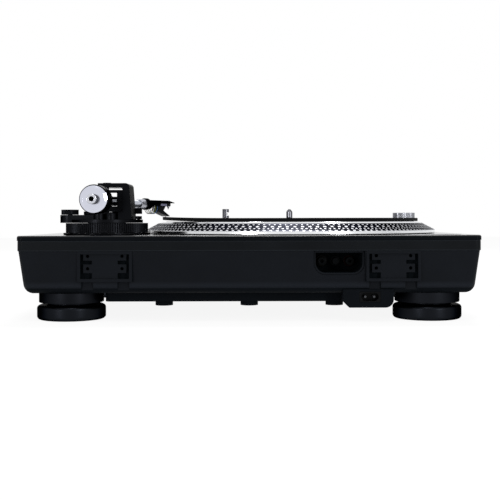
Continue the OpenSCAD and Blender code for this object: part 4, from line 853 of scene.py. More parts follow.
@dataclass
class Case:
    """Tub, band, deck, pan and foot collars."""

    deck_edge: float = 1.8
    deck_steps: int = 4
    top_lean: float = 0.3
    hole_edge: float = 0.3
    corner: float = 6.2
    tub_edge: float = 0.6
    under_lean: float = -0.4
    channel_dx: float = 17.5
    channel_w: float = 11.5
    channel_top: float = 48.0
    band_edge: float = 0.7
    pan_edge: float = 0.9
    collar_edge: float = 0.8
    screw_head_r: float = 3.8
    cross: Point = (4.6, 0.9)
    cross_deep: float = 0.1

    def build(self) -> None:
        """Builds each shell of the case."""
        self.tub()
        dress("upper_chassis", BAND_PLASTIC, self.band_edge)
        self.deck()
        dress("bottom_plate", PAN_AND_PAINTED_SHADE_PLASTIC, self.pan_edge)
        dress("bottom_screws", SCREW_STEEL, self.hole_edge)
        self.screw_crosses()
        dress("foot_collars", COLLAR_PLASTIC, self.collar_edge)

    def tub(self) -> None:
        """Builds the tub, with a painted highlight along its lower bend and painted shade on its downward faces,
        which take the pan's darker plastic.
        """
        finishes = [TUB_PLASTIC, CASE_PLASTIC, PAN_AND_PAINTED_SHADE_PLASTIC]
        mesh = soften(cad_copy("lower_tub"), self.tub_edge)
        mesh.normal_update()
        for face in mesh.faces:
            finish = TUB_PLASTIC
            # Downward faces take the darker pan plastic as painted shade
            if face.normal.z < self.under_lean:
                finish = PAN_AND_PAINTED_SHADE_PLASTIC
            elif self.in_channel(face.calc_center_median()):
                finish = CASE_PLASTIC
            face.material_index = finishes.index(finish)
        materials = [finish.material() for finish in finishes]
        put(mesh, "lower_tub_finished", "plinth", materials, ["lower_tub"])

    def in_channel(self, spot: Vector) -> bool:
        """Tells whether a spot on the tub is in one of the channels under the hinge sockets.

        Args:
            spot: The spot in millimetres.

        Returns:
            Whether a channel holds it.
        """
        hinge = abs(middle("hinge_socket_left").x)
        away = abs(abs(abs(spot.x) - hinge) - self.channel_dx)
        return away <= self.channel_w / 2 + WELD and spot.y > 0.0 and spot.z < self.channel_top

    def screw_crosses(self) -> None:
        """Paints a dark cross on the head of each screw under the pan, as painted shade of its cross recess."""
        low, high = span("bottom_screws")
        columns = (low.x + self.screw_head_r, 0.0, high.x - self.screw_head_r)
        rows = (low.y + self.screw_head_r, high.y - self.screw_head_r)
        spots = [Vector((x, y, low.z)) for x in columns for y in rows]
        places = [(spot, self.cross, turn) for spot in spots for turn in (0.0, math.pi / 2)]
        add_trim(bars(places, self.cross_deep), "screw_crosses", "plinth", PAINTED_SHADE_PLASTIC)

    def deck(self) -> None:
        """Builds the deck with a full round on its outer upper edge."""
        high = span("top_deck")[1]

        def outer(edge: bmesh.types.BMEdge) -> bool:
            """Tells whether an edge lies on the deck's outline, at its top.

            Args:
                edge: The edge.

            Returns:
                Whether both of its ends lie there.
            """
            return all(
                vert.co.z > high.z - WELD
                and (abs(vert.co.x) > high.x - self.corner or abs(vert.co.y) > high.y - self.corner)
                for vert in edge.verts
            )

        mesh = cad_copy("top_deck")
        soften(mesh, self.deck_edge, self.deck_steps, outer)
        soften(mesh, self.hole_edge, segments=1)
        mesh.normal_update()
        for face in mesh.faces:
            face.material_index = int(face.normal.z > self.top_lean)
        materials = [DECK_LACQUER.material(), DECK_TOP.material()]
        put(mesh, "top_deck_finished", "plinth", materials, ["top_deck"])


@dataclass
class RearFittings:
    """Hinge sockets, jack recess and mains inlet on the rear."""

    socket_edge: float = 0.35
    inlet_edge: float = 0.5
    jack_ring_in: float = 4.2
    jack_ring_out: float = 5.6
    jack_ring_len: float = 1.2
    jack_ring_edge: float = 0.2
    jack_ring_steps: int = 32
    jack_flange_r: float = 6.0
    jack_flange_t: float = 2.0
    jack_edge: float = 0.3
    mains_edge: float = 0.25
    rim_deep: float = 0.6
    pad_deep: float = 2.0
    pin_pitch: float = 8.6
    pin_reach: float = 1.5
    pin_from: float = 4.5

    def build(self) -> None:
        """Builds each fitting."""
        for side in ("left", "right"):
            self.pocket(f"hinge_socket_{side}", self.pad_deep)
        self.pocket("jack_box", self.rim_deep)
        # The jacks take a finish darkened to painted shade
        dress("output_jacks", JACK_NICKEL_PAINTED_SHADE, self.jack_edge, axis=REARWARD)
        self.jack_rings()
        dress("inlet_housing", INLET_PLASTIC, self.inlet_edge)
        self.mains_socket()

    def pocket(self, node: str, deep: float) -> None:
        """Dresses a piece that is sunk in the rear, with painted shade on its faces deeper inside.

        Args:
            node: The piece's node.
            deep: How deep under its rear face the painted shade starts.
        """
        mouth = span(node)[1].y - deep
        dress(
            node, CASE_PLASTIC, self.socket_edge, second=PAINTED_SHADE_PLASTIC, pick=lambda spot: spot.y < mouth
        )

    def jack_rings(self) -> None:
        """Adds the insulating ring of each signal jack, red or white but darkened as painted shade of the recess.
        """
        low, high = span("output_jacks")
        level = (low.z + high.z) / 2
        near, far, length = self.jack_ring_in, self.jack_ring_out, self.jack_ring_len
        profile = [(near, 0.0), (far, 0.0), (far, length), (near, length)]
        red, white = low.x + self.jack_flange_r, high.x - self.jack_flange_r
        for name, x, finish in (("red", red, JACK_RED_PAINTED_SHADE), ("white", white, JACK_WHITE_PAINTED_SHADE)):
            ring = soften(lathe(profile, self.jack_ring_steps, ring=True), self.jack_ring_edge)
            stand(ring, Vector((x, low.y + self.jack_flange_t, level)), REARWARD)
            add_trim(ring, f"jack_ring_{name}", "plinth", finish)

    def mains_socket(self) -> None:
        """Builds the mains socket, with bare metal on its two pins."""
        centre = middle("mains_socket")
        pin_start = span("mains_socket")[0].y + self.pin_from

        def on_pin(spot: Vector) -> bool:
            """Tells whether a face's middle is on one of the two pins."""
            away = math.hypot(abs(spot.x - centre.x) - self.pin_pitch / 2, spot.z - centre.z)
            return away < self.pin_reach and spot.y > pin_start

        dress("mains_socket", SOCKET_PLASTIC, self.mains_edge, axis=REARWARD, second=PIN_STEEL, pick=on_pin)


@dataclass
class Feet:
    """Four screw feet with rubber discs."""

    disc_h: float = 14.5
    edge: float = 3.5
    sole: float = 25.0
    sole_deep: float = 0.8
    neck_r: float = 24.0
    neck_top: float = 24.0
    stem_r: float = 5.0
    stem_bevel: float = 0.5
    fillet: float = 1.5
    fillet_steps: int = 4
    steps: int = 96

    def build(self) -> None:
        """Turns each foot on its own axis."""
        for side in ("front_left", "front_right", "rear_left", "rear_right"):
            self.foot(f"foot_{side}")

    def foot(self, node: str) -> None:
        """Turns one foot.

        Args:
            node: The foot's node.
        """
        low, high = span(node)
        centre = middle(node)
        radius = (high.x - low.x) / 2
        flat = radius - self.edge
        neck = (self.neck_r + self.fillet, self.disc_h + self.fillet)
        stem = (self.stem_r, high.z - self.stem_bevel)
        profile = [(0.0, self.sole_deep), (self.sole, self.sole_deep), (self.sole + self.sole_deep, 0.0)]
        profile += arc((flat, self.edge), self.edge, -90.0, 0.0)
        profile += arc((flat, self.disc_h - self.edge), self.edge, 0.0, 90.0)
        profile += arc(neck, self.fillet, 270.0, 180.0, self.fillet_steps)
        profile += [(self.neck_r, self.neck_top), (self.stem_r, self.neck_top)]
        profile += [stem, (self.stem_r - self.stem_bevel, high.z), (0.0, high.z)]
        mesh = stand(lathe(profile, self.steps), Vector((centre.x, centre.y, low.z)))
        put(mesh, f"{node}_finished", node, [FOOT_RUBBER.material(centre)], [node])


@dataclass
class Drive:
    """Motor, bearing, electronics and spindle."""

    spindle_edge: float = 0.12

    def build(self) -> None:
        """Dresses the pieces under the platter, and the spindle through it."""
        coat("transformer", LAMINATIONS)
        for node in ("circuit_board", "stator"):
            coat(node, SOLDER_MASK)
        coat("spindle_bearing", BRASS)
        coat("rotor_magnet", FERRITE)
        dress("spindle", CHROME_DARKENED_AS_REFLECTION, self.spindle_edge)


@dataclass
class Platter:
    """Turned platter with four rows of strobe dots on its rim, and the slipmat on it."""

    steps: int = 240
    flange_h: float = 3.1
    flange_edge: float = 0.4
    rim_run: float = 17.0
    rim_rise: float = 9.0
    bright_h: float = 1.3
    bright_run: float = 0.3
    bed_h: float = 0.5
    bed_edge: float = 0.3
    bed_inset: float = 6.0
    wall: float = 9.0
    web: float = 4.5
    hub_r: float = 16.0
    hub_bore: float = 4.01
    hub_drop: float = 3.0
    dots_in_row: tuple[int, ...] = (160, 216, 133, 180)
    dot_sizes: tuple[Point, ...] = ((2.1, 2.7), (1.5, 2.0), (2.1, 2.9), (1.3, 1.7))
    dot_high: float = 0.15
    dot_along: float = 0.34
    land_gap: float = 0.3
    land_share: float = 0.72
    step_drop: float = 0.35

    def build(self) -> None:
        """Builds the platter, its dots and the slipmat."""
        low, high = span("platter")
        self.axis = upright("platter")
        self.radius = (high.x - low.x) / 2
        self.low = low.z
        self.bed_top = high.z
        self.turned()
        self.dots()
        Slipmat().build()

    def row(self, number: int) -> tuple[Point, Point]:
        """Gives the land of a row of dots.

        Args:
            number: The row's number from the bottom.

        Returns:
            The land's outer and inner edges, as (radius, height).
        """
        rise = (self.rim_rise - self.bright_h) / len(self.dots_in_row)
        run = rise * self.rim_run / self.rim_rise
        outer = (self.radius - run * number - self.land_gap, self.low + self.flange_h + rise * number)
        inner = (outer[0] - run * self.land_share, outer[1] + rise * self.land_share + self.step_drop)
        return outer, inner

    def turned(self) -> None:
        """Turns the platter's body in one profile."""
        rim_top = self.bed_top - self.bed_h
        dots_top = rim_top - self.bright_h
        top_r = self.radius - self.rim_run
        bright_r = top_r + self.bright_h * self.rim_run / self.rim_rise
        bright_foot = top_r + self.bright_run
        bed_r = top_r - self.bed_inset
        ceiling = self.bed_top - self.web
        hub_z = ceiling - self.hub_drop
        wall_r = self.radius - self.wall
        lean = (ceiling - self.low) * self.rim_run / self.rim_rise
        flange_top = self.low + self.flange_h
        edge = self.flange_edge
        profile = [(self.hub_bore, hub_z), (self.hub_r, hub_z), (self.hub_r, ceiling)]
        profile += [(wall_r - lean, ceiling), (wall_r, self.low)]
        profile += [(self.radius - edge, self.low), (self.radius, self.low + edge)]
        profile += [(self.radius, flange_top - edge), (self.radius - edge, flange_top)]
        for number in range(len(self.dots_in_row)):
            profile += self.row(number)
        profile += [(bright_r, dots_top), (bright_foot, dots_top), (top_r, rim_top), (bed_r, rim_top)]
        profile += [(bed_r, self.bed_top - self.bed_edge), (bed_r - self.bed_edge, self.bed_top)]
        profile += [(self.hub_bore, self.bed_top)]
        mesh = lathe(profile, self.steps, ring=True)
        for face in mesh.faces:
            spot = face.calc_center_median()
            on_slope = math.hypot(spot.x, spot.y) > bright_r and face.normal.z > 0.0
            face.material_index = int(on_slope and flange_top < spot.z < dots_top)
        stand(mesh, self.axis)
        materials = [PLATTER_METAL.material(self.axis), PLATTER_BAND.material(self.axis)]
        put(mesh, "platter_turned", "platter", materials, ["platter"])

    def dots(self) -> None:
        """Raises the rows of dots from their lands."""
        mesh = bmesh.new()
        for number, count in enumerate(self.dots_in_row):
            self.dot_row(mesh, number, count)
        stand(mesh, self.axis)
        put(mesh, "strobe_dots", "platter", [DOT_METAL.material(self.axis)])

    def dot_row(self, mesh: Mesh, number: int, count: int) -> None:
        """Raises one row of dots.

        Args:
            mesh: The dots' mesh, which is added to.
            number: The row's number from the bottom.
            count: How many dots the row has.
        """
        outer, inner = self.row(number)
        run, rise = outer[0] - inner[0], inner[1] - outer[1]
        radius = outer[0] - run * self.dot_along
        level = outer[1] + rise * self.dot_along
        made = bmesh.ops.create_cube(mesh, size=1.0)["verts"]
        bmesh.ops.scale(mesh, vec=(*self.dot_sizes[number], self.dot_high * 2), verts=made)
        lean = Matrix.Rotation(math.atan2(rise, run), 3, "Y")
        bmesh.ops.rotate(mesh, cent=ORIGIN, matrix=lean, verts=made)
        bmesh.ops.translate(mesh, vec=(radius, 0.0, level), verts=made)
        faces = list({face for vert in made for face in vert.link_faces})
        edges = list({edge for vert in made for edge in vert.link_edges})
        bmesh.ops.spin(
            mesh, geom=[*made, *edges, *faces], axis=UP, cent=ORIGIN, use_duplicate=True,
            angle=2 * math.pi * (count - 1) / count, steps=count - 1,
        )


@dataclass
class Slipmat:
    """Felt disc on the platter, with an edge that curls a little on the tonearm's side."""

    steps: int = 160
    rings: int = 28
    bore: float = 4.4
    rest_gap: float = 0.05
    soft_edge: float = 0.7
    edge_steps: int = 3
    curl: float = 2.0
    curl_from: float = 96.0
    curl_bend: int = 2
    curl_power: int = 4

    def build(self) -> None:
        """Turns the felt, curls its edge and lays it on the platter."""
        low, high = span("slipmat")
        centre = upright("slipmat")
        radius = (high.x - low.x) / 2
        edge = self.soft_edge
        flat_r = radius - edge
        under = low.z + self.rest_gap
        radii = [self.bore + (flat_r - self.bore) * ring / self.rings for ring in range(self.rings + 1)]
        profile = [(r, under) for r in radii]
        profile += arc((flat_r, under + edge), edge, -90.0, 0.0, self.edge_steps)[1:]
        profile += arc((flat_r, high.z - edge), edge, 0.0, 90.0, self.edge_steps)[:-1]
        profile += [(r, high.z) for r in reversed(radii)]
        mesh = lathe(profile, self.steps, ring=True)
        for vert in mesh.verts:
            vert.co.z += self.lifted(vert.co, radius)
        stand(mesh, centre)
        piece = put(mesh, "slipmat_felt", "slipmat", [MAT_FELT.material(centre)], ["slipmat"])

    def lifted(self, spot: Vector, radius: float) -> float:
        """Tells how far the felt has curled up at a spot.

        Args:
            spot: The spot, from the platter's axis.
            radius: The felt's radius.

        Returns:
            The rise in millimetres.
        """
        away = math.hypot(spot.x, spot.y)
        share = max(0.0, (away - self.curl_from) / (radius - self.curl_from))
        side = max(0.0, spot.x / away)
        return self.curl * share ** self.curl_bend * side ** self.curl_power


@dataclass
class Tonearm:
    """Arm mount, gimbal, tube, counterweight and the pieces on the arm's base."""

    face_len: float = 2.9
    face_inset: float = 1.1
    face_bevel: Point = (2.6, 1.2)
    bevel_loops: tuple[float, ...] = (0.0, 0.06, 0.94, 1.0)
    face_bore: float = 5.15
    face_lip: float = 1.1
    weight_edge: float = 0.8
    weight_bore: float = 6.58
    steps: int = 72
    stub_hole_r: float = 2.5
    stub_edge: float = 0.5
    cue_tip: float = 5.0
    mark: float = 0.1
    scale_r: float = 44.8
    scale_tick: Point = (1.5, 0.35)
    scale_gap: float = 0.3
    ring_angles: Sequence[float] = range(-150, 151, 10)
    dial_tick: Point = (2.4, 0.4)
    dial_tick_r: float = 11.8
    dial_angles: Sequence[float] = range(0, 360, 15)
    skate_tick: Point = (4.0, 0.7)
    skate_tick_r: float = 6.0
    skate_angle: float = -90.0
    screw_slot: Point = (6.0, 0.9)
    pad_t: float = 0.8
    pad_round: float = 1 / 3
    pad_inset: float = 1.2
    black_edges: tuple[tuple[str, float], ...] = (
        ("arm_mount", 0.5), ("height_ring", 0.12), ("arm_base", 0.7), ("height_lock", 0.5),
        ("gimbal_ring", 0.8), ("arm_rest", 0.5), ("arm_clip", 0.3), ("lift_bar", 0.6),
        ("pivot_screw", 0.15), ("antiskate_dial", 0.15),
    )
    bracket_edge: float = 0.9
    pin_edge: float = 0.3
    block_edge: float = 0.4
    bush_edge: float = 0.2
    dial_edge: float = 0.12
    lever_edge: float = 0.3

    def build(self) -> None:
        """Builds each piece of the arm."""
        for node, edge in self.black_edges:
            dress(node, ARM_BLACK, edge)
        dress("bearing_bracket", ARM_GLOSS, self.bracket_edge, ROUND_FACES)
        dress("gimbal_pins", CHROME_DARKENED_AS_REFLECTION, self.pin_edge, axis=SIDEWAYS)
        dress("arm_block", ARM_METAL, self.block_edge, axis=REARWARD)
        dress("arm_tube", ARM_METAL, 0.0)
        dress("weight_bush", TRIM_PLASTIC, self.bush_edge, axis=REARWARD)
        dress("force_dial", ARM_BLACK, self.dial_edge, axis=REARWARD)
        self.stub()
        self.cue_lever()
        self.counterweight()
        self.marks()
        self.lift_pad()
        Headshell().build()

    def stub(self) -> None:
        """Builds the rear stub, with painted shade on the walls inside its hole."""
        centre = middle("arm_stub")
        end = span("arm_stub")[1].y

        def in_hole(spot: Vector) -> bool:
            """Tells whether a face's middle is inside the hole."""
            near = math.hypot(spot.x - centre.x, spot.z - centre.z) < self.stub_hole_r
            return near and spot.y < end - self.stub_edge

        dress("arm_stub", STUB_CHROME, self.stub_edge, ROUND_FACES, REARWARD, PAINTED_SHADE_PLASTIC, in_hole)

    def cue_lever(self) -> None:
        """Builds the black cue lever with a rubber tip."""
        tip = span("cue_lever")[0].y + self.cue_tip
        dress(
            "cue_lever", ARM_BLACK, self.lever_edge, second=FOOT_RUBBER, pick=lambda spot: spot.y < tip
        )

    def counterweight(self) -> None:
        """Turns the black weight and the bright disc on its rear face."""
        low, high = span("counterweight")
        centre = middle("counterweight")
        radius = (high.z - low.z) / 2
        length = high.y - low.y
        body = length - self.face_len
        base = Vector((centre.x, low.y, centre.z))
        edge = self.weight_edge
        rim = radius - edge
        profile = [(self.weight_bore, 0.0), (rim, 0.0), (radius, edge), (radius, body - edge)]
        profile += [(rim, body), (self.weight_bore, body)]
        mesh = stand(lathe(profile, self.steps, ring=True), base, REARWARD)
        material = ARM_GLOSS.material(centre, REARWARD)
        put(mesh, "counterweight_body", "counterweight", [material], ["counterweight"])
        face_r = radius - self.face_inset
        lip = length - self.face_lip
        wide, high_by = self.face_bevel
        bevel = [(face_r - wide * share, length - high_by * (1.0 - share)) for share in self.bevel_loops]
        profile = [(self.weight_bore, body), (face_r, body), *bevel, (self.face_bore, length)]
        profile += [(self.face_bore, lip), (self.weight_bore, lip)]
        mesh = stand(lathe(profile, self.steps, ring=True), base, REARWARD)
        material = WEIGHT_METAL.material(centre, REARWARD)
        put(mesh, "counterweight_face", "counterweight", [material])

    def marks(self) -> None:
        """Paints the scales of the ring, the force dial and the anti-skate dial, and a dark bar on the top screw
        as painted shade of its slot.
        """
        scale = ring_of_bars(self.scale_r, self.scale_tick, self.ring_angles, self.mark)
        stand(scale, upright("height_ring") + UP * (span("height_ring")[0].z - self.scale_gap))
        add_trim(scale, "height_scale", "plinth", MARK_PAINT)
        dial = middle("force_dial")
        scale = ring_of_bars(self.dial_tick_r, self.dial_tick, self.dial_angles, self.mark)
        stand(scale, Vector((dial.x, span("force_dial")[0].y, dial.z)), -REARWARD)
        add_trim(scale, "force_scale", "force_dial", MARK_PAINT)
        pointer = ring_of_bars(self.skate_tick_r, self.skate_tick, [self.skate_angle], self.mark)
        stand(pointer, top("antiskate_dial"))
        add_trim(pointer, "antiskate_pointer", "antiskate_dial", MARK_PAINT)
        # A dark bar as the painted shade of the top screw's slot
        slot = bars([(top("pivot_screw") - UP * self.mark, self.screw_slot, 0.0)], self.mark)
        add_trim(slot, "pivot_screw_slot_painted_shade", "arm_base", PAINTED_SHADE_PLASTIC)

    def lift_pad(self) -> None:
        """Glues a strip of rubber along the top of the lift bar."""
        low, high = span("lift_bar")
        spot = top("lift_bar") + UP * (self.pad_t / 2)
        size = (high.x - low.x - 2 * self.pad_inset, high.y - low.y - 2 * self.pad_inset)
        strip = soften(bars([(spot, size, 0.0)], self.pad_t), self.pad_t * self.pad_round)
        add_trim(strip, "lift_bar_pad", "lift_bar", FOOT_RUBBER)


@dataclass
class Headshell:
    """Locking collar, headshell, cartridge, stylus and lead wires."""

    strip_start: float = 26.4
    strip_end: float = 41.5
    strip_low: float = -2.0
    strip_high: float = 0.7
    strip_t: float = 0.3
    collar_ahead: float = 10.0
    flange_half: float = 8.3
    wire_pitch: float = 2.6
    collar_edge: float = 0.12
    shell_edge: float = 0.5
    cartridge_edge: float = 0.4
    screw_edge: float = 0.2

    def build(self) -> None:
        """Builds each piece in front of the tube."""
        self.forward = Vector(JOINT["headshell_pull"]["axis"])
        self.across = self.forward.cross(UP)
        tube_end = Vector(JOINT["collar_turn"]["pos_m"]) * PER_METRE
        self.start = tube_end + self.forward * self.collar_ahead
        dress("locking_collar", STUB_CHROME, self.collar_edge, axis=self.forward)
        dress("headshell", ARM_GLOSS, self.shell_edge, ROUND_FACES)
        dress("cartridge", CARTRIDGE_PLASTIC, self.cartridge_edge, ROUND_FACES)
        dress("stylus", CHROME_DARKENED_AS_REFLECTION, 0.0)
        dress("cartridge_screws", SCREW_STEEL, self.screw_edge)
        self.side_strips()
        self.wires()

    def side_strips(self) -> None:
        """Adds the pale strip on each side of the cartridge's flange."""
        along = (self.strip_start + self.strip_end) / 2
        level = (self.strip_low + self.strip_high) / 2
        size = (self.strip_end - self.strip_start, self.strip_t)
        heading = math.atan2(self.forward.y, self.forward.x)
        centre = self.start + self.forward * along + UP * level
        places = [(centre + self.across * self.flange_half * side, size, heading) for side in (-1, 1)]
        strips = bars(places, self.strip_high - self.strip_low)
        add_trim(strips, "cartridge_strips", "headshell", LILAC_PLASTIC)

    def wires(self) -> None:
        """Gives each lead wire its own colour."""
        centre = middle("lead_wires")
        mesh = cad_copy("lead_wires")
        last = len(WIRE_COATS) - 1
        for face in mesh.faces:
            offset = (face.calc_center_median() - centre).dot(self.across)
            number = int(offset / self.wire_pitch + len(WIRE_COATS) / 2)
            face.material_index = min(last, max(0, number))
        materials = [finish.material() for finish in WIRE_COATS]
        put(mesh, "lead_wires_finished", BODY_OF["lead_wires"], materials, ["lead_wires"])


@dataclass
class Controls:
    """Buttons, pitch fader, strobe tower, target light and adaptor."""

    mark: float = 0.1
    digit_w: float = 2.2
    digit_h: float = 3.8
    digit_gap: float = 1.4
    stroke: float = 0.5
    tick: Point = (2.4, 0.45)
    tick_x: float = 15.0
    tick_pitch: int = 10
    tick_reach: int = 50
    grip_t: float = 0.4
    grip: Point = (23.0, 0.8)
    grip_rows: tuple[float, ...] = (-4.2, -2.4, 2.4, 4.2)
    line: Point = (24.0, 0.7)
    window: Point = (1.6, 8.6)
    window_h: float = 6.6
    window_r: float = 9.9
    pointer: Point = (6.0, 0.9)
    pointer_r: float = 9.0
    pointer_angle: float = 90.0
    lens_r: float = 1.2
    led_y: float = 10.0
    target_in: float = 1.4
    target_low: float = 6.6
    groove_r: float = 14.0
    groove: float = 0.5
    sink: float = 2.2
    bore: float = 3.95
    edge: float = 0.8
    adaptor_steps: int = 72
    lens_steps: int = 24
    start_edge: float = 0.8
    button_edge: float = 0.6
    panel_edge: float = 0.3
    fader_edge: float = 0.9
    power_edge: float = 0.15
    light_edge: float = 0.4

    def build(self) -> None:
        """Builds each control."""
        dress("start_button", BUTTON_METAL, self.start_edge, ROUND_FACES)
        for node in ("button_33", "button_45", "quartz_button"):
            dress(node, TRIM_PLASTIC, self.button_edge, ROUND_FACES)
        for speed in ("33", "45"):
            self.numerals(f"button_{speed}", speed)
        self.fader()
        dress("strobe_tower", TRIM_PLASTIC, self.button_edge, ROUND_FACES)
        self.strobe_window()
        self.power_knob()
        self.lenses()
        self.adaptor()

    def numerals(self, node: str, digits: str) -> None:
        """Paints a speed on a button.

        Args:
            node: The button's node.
            digits: The speed's digits.
        """
        strokes = {
            "3": (((0, 1), (1, 1), (1, 0), (0, 0)), ((0.3, 0.5), (1, 0.5))),
            "4": (((0, 1), (0, 0.4), (1, 0.4)), ((0.8, 1), (0.8, 0))),
            "5": (((1, 1), (0, 1), (0, 0.55), (1, 0.55), (1, 0), (0, 0)),),
        }
        width = len(digits) * self.digit_w + (len(digits) - 1) * self.digit_gap
        face = top(node)
        places = []
        for number, digit in enumerate(digits):
            left = face.x - width / 2 + number * (self.digit_w + self.digit_gap)
            low = face.y - self.digit_h / 2
            for path in strokes[digit]:
                points = [Vector((left + x * self.digit_w, low + y * self.digit_h, face.z)) for x, y in path]
                places += [self.stroke_bar(start, end) for start, end in zip(points, points[1:])]
        add_trim(bars(places, self.mark), f"{node}_numerals", node, MARK_PAINT)

    def stroke_bar(self, start: Vector, end: Vector) -> Bar:
        """Gives the bar of one stroke.

        Args:
            start: Where the stroke starts.
            end: Where it ends.

        Returns:
            The bar's middle, its size and its turn.
        """
        reach = end - start
        return (start + end) / 2, (reach.length + self.stroke, self.stroke), math.atan2(reach.y, reach.x)

    def fader(self) -> None:
        """Builds the pitch fader, with a painted scale and a ribbed knob."""
        dress("fader_panel", TRIM_PLASTIC, self.panel_edge)
        coat("fader_track", TRACK_STEEL)
        dress("fader_knob", TRIM_PLASTIC, self.fader_edge, ROUND_FACES)
        panel = top("fader_panel")
        rows = range(-self.tick_reach, self.tick_reach + 1, self.tick_pitch)
        spots = [panel + Vector((side * self.tick_x, row, 0.0)) for row in rows for side in (-1, 1)]
        scale = bars([(spot, self.tick, 0.0) for spot in spots], self.mark)
        add_trim(scale, "fader_scale", "plinth", MARK_PAINT)
        knob = top("fader_knob")
        ribs = bars([(knob + REARWARD * row, self.grip, 0.0) for row in self.grip_rows], self.grip_t)
        add_trim(soften(ribs, self.mark), "fader_knob_ribs", "fader_knob", TRIM_PLASTIC)
        line = bars([(knob, self.line, 0.0)], self.mark)
        add_trim(line, "fader_knob_line", "fader_knob", MARK_PAINT)

    def strobe_window(self) -> None:
        """Sets a red lens in the strobe tower's window, which faces the platter."""
        tower = middle("strobe_tower")
        away = middle("platter") - tower
        turn = math.atan2(away.y, away.x)
        spot = tower + Vector((math.cos(turn), math.sin(turn), 0.0)) * self.window_r
        lens = soften(bars([(spot, self.window, turn)], self.window_h), self.groove, ROUND_FACES)
        put(lens, "strobe_lens", "plinth", [WINDOW_RED.material(tower)])

    def power_knob(self) -> None:
        """Builds the power knob, with a dark pointer on its top."""
        dress("power_knob", KNOB_METAL, self.power_edge)
        pointer = ring_of_bars(self.pointer_r, self.pointer, [self.pointer_angle], self.mark)
        stand(pointer, top("power_knob"))
        add_trim(pointer, "power_pointer", "power_knob", ARM_BLACK)

    def lenses(self) -> None:
        """Builds the target light with a lens in its window, and the quartz lamp beside its button."""
        dress("target_light", CHROME_DARKENED_AS_REFLECTION, self.light_edge, ROUND_FACES)
        dome = arc((0.0, 0.0), self.lens_r, 0.0, 90.0)
        spot = top("target_light") - SIDEWAYS * self.target_in - UP * self.target_low
        lens = stand(lathe(dome, self.lens_steps), spot, -SIDEWAYS)
        put(lens, "target_lens", "target_light", [LAMP_LENS.material(spot)])
        quartz = middle("quartz_button")
        spot = Vector((quartz.x, quartz.y + self.led_y, span("top_deck")[1].z))
        lamp = stand(lathe(dome, self.lens_steps), spot)
        put(lamp, "quartz_lamp", "plinth", [GREEN_LENS.material(spot)])

    def adaptor(self) -> None:
        """Turns the adaptor, with a groove in its top and a sunk edge around its hole."""
        low, high = span("adaptor_45")
        centre = middle("adaptor_45")
        radius = (high.x - low.x) / 2
        face, edge, groove = high.z, self.edge, self.groove
        profile = [(self.bore, low.z), (radius, low.z), (radius, face - edge), (radius - edge, face)]
        profile += [(self.groove_r + groove, face), (self.groove_r, face - groove)]
        profile += [(self.groove_r - groove, face), (self.bore + self.sink, face)]
        profile += [(self.bore, face - self.sink)]
        mesh = stand(lathe(profile, self.adaptor_steps, ring=True), upright("adaptor_45"))
        put(mesh, "adaptor_45_turned", "adaptor_45", [KNOB_METAL.material(centre)], ["adaptor_45"])


@dataclass(frozen=True)
class Lamp:
    """A soft lamp that points at the turntable.

    Attributes:
        name: The lamp's name.
        spot: Its place in metres.
        size: Its width and height in metres.
        power: Its power in watts.
        aim_z: Height of the spot that it points at, in metres.
    """

    name: str
    spot: Place
    size: Point
    power: float
    aim_z: float = 0.05

    def hang(self) -> None:
        """Puts the lamp in the scene."""
        light = bpy.data.lights.new(self.name, "AREA")
        light.shape = "RECTANGLE"
        light.size, light.size_y = self.size
        light.energy = self.power
        lamp = bpy.data.objects.new(self.name, light)
        lamp.location = self.spot
        lamp.rotation_euler = (UP * self.aim_z - Vector(self.spot)).to_track_quat("-Z", "Y").to_euler()
        bpy.context.scene.collection.objects.link(lamp)


LAMPS = (
    Lamp("top lamp", spot=(-0.18, -0.44, 1.5), size=(0.75, 0.35), power=11.5),
    Lamp("rear left lamp", spot=(1.3, 2.15, 0.22), size=(0.36, 0.4), power=8.0),
    Lamp("rear right lamp", spot=(-1.5, 2.15, 0.58), size=(0.3, 1.1), power=17.0),
    Lamp("rear high lamp", spot=(0.0, 0.95, 1.6), size=(0.35, 0.35), power=5.0),
    Lamp("front lamp", spot=(0.0, -1.6, 0.9), size=(0.8, 0.8), power=7.0),
)


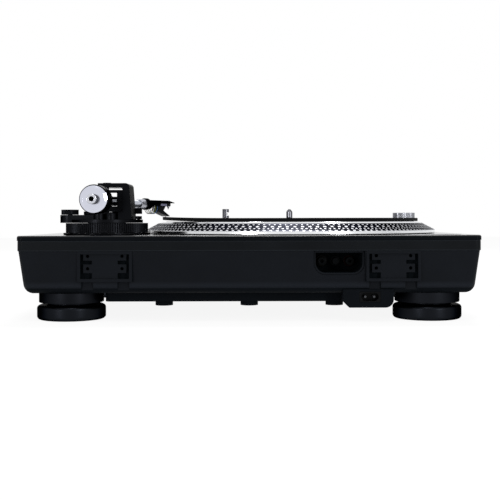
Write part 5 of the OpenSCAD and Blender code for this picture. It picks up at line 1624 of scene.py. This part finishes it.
@dataclass
class Studio:
    """Floor, white surroundings, soft lamps and the camera behind the turntable."""

    fill: float = 0.5
    floor_size: float = 8.0
    floor_colour: Colour = (0.9, 0.9, 0.9)
    floor_glow: float = 0.85
    floor_lift: float = 1.06
    lens: float = 61.96
    camera_y: float = 1.004
    camera_z: float = 0.099
    shift_x: float = 0.0019
    shift_y: float = -0.0596
    roll: float = -0.14

    def build(self) -> None:
        """Builds the stage around the turntable."""
        self.surroundings()
        self.floor()
        for lamp in LAMPS:
            lamp.hang()
        self.camera()

    def seen(self, recipe: Recipe) -> Socket:
        """Tells whether a ray is one that shows the surroundings.

        Args:
            recipe: The nodes to add to.

        Returns:
            1 for a camera, glossy or transmission ray.
        """
        path = recipe.add("ShaderNodeLightPath")
        plain = recipe.math("MAXIMUM", path.outputs["Is Camera Ray"], path.outputs["Is Glossy Ray"])
        return recipe.math("MAXIMUM", plain, path.outputs["Is Transmission Ray"])

    def surroundings(self) -> None:
        """Makes the world white where it is seen, and a plain fill light elsewhere."""
        world = bpy.data.worlds.new("white surroundings")
        world.use_nodes = True
        bpy.context.scene.world = world
        recipe = Recipe(world.node_tree)
        background = world.node_tree.nodes["Background"]
        background.inputs["Color"].default_value = (*WHITE, 1.0)
        recipe.feed(background.inputs["Strength"], recipe.span(self.seen(recipe), self.fill, 1.0))

    def floor(self) -> None:
        """Lays a white floor that keeps a soft share of the shadow."""
        mesh = bmesh.new()
        bmesh.ops.create_grid(mesh, x_segments=1, y_segments=1, size=self.floor_size / 2)
        data = bpy.data.meshes.new("floor")
        mesh.to_mesh(data)
        mesh.free()
        material = bpy.data.materials.new("pale floor")
        material.use_nodes = True
        recipe = Recipe(material.node_tree)
        outlet = material.node_tree.nodes["Material Output"]
        matt = recipe.add("ShaderNodeBsdfDiffuse", {"Color": (*self.floor_colour, 1.0)})
        glow = recipe.add("ShaderNodeEmission", {"Color": (*WHITE, 1.0), "Strength": self.floor_lift})
        share = recipe.math("MULTIPLY", self.seen(recipe), self.floor_glow)
        blend = recipe.add("ShaderNodeMixShader", {0: share, 1: matt.outputs[0], 2: glow.outputs[0]})
        recipe.feed(outlet.inputs["Surface"], blend.outputs[0])
        data.materials.append(material)
        floor = bpy.data.objects.new("floor", data)
        bpy.context.scene.collection.objects.link(floor)

    def camera(self) -> None:
        """Sets the camera where the photograph was taken from."""
        data = bpy.data.cameras.new("camera")
        data.lens = self.lens
        data.shift_x = self.shift_x
        data.shift_y = self.shift_y
        camera = bpy.data.objects.new("camera", data)
        turn = Matrix.Rotation(math.pi, 4, "Z") @ Matrix.Rotation(math.pi / 2, 4, "X")
        tilt = Matrix.Rotation(math.radians(self.roll), 4, "Z")
        camera.matrix_world = Matrix.Translation((0.0, self.camera_y, self.camera_z)) @ turn @ tilt
        bpy.context.scene.collection.objects.link(camera)
        bpy.context.scene.camera = camera
        bpy.context.scene.view_settings.view_transform = "Standard"


def main() -> None:
    """Builds the turntable's sub-assemblies and the studio around them."""
    logging.basicConfig(level=logging.INFO, format="%(message)s")
    for assembly in (Studio(), Case(), RearFittings(), Feet(), Drive(), Platter(), Tonearm(), Controls()):
        LOG.info("building %s", type(assembly).__name__)
        assembly.build()


if __name__ == "__main__":
    main()
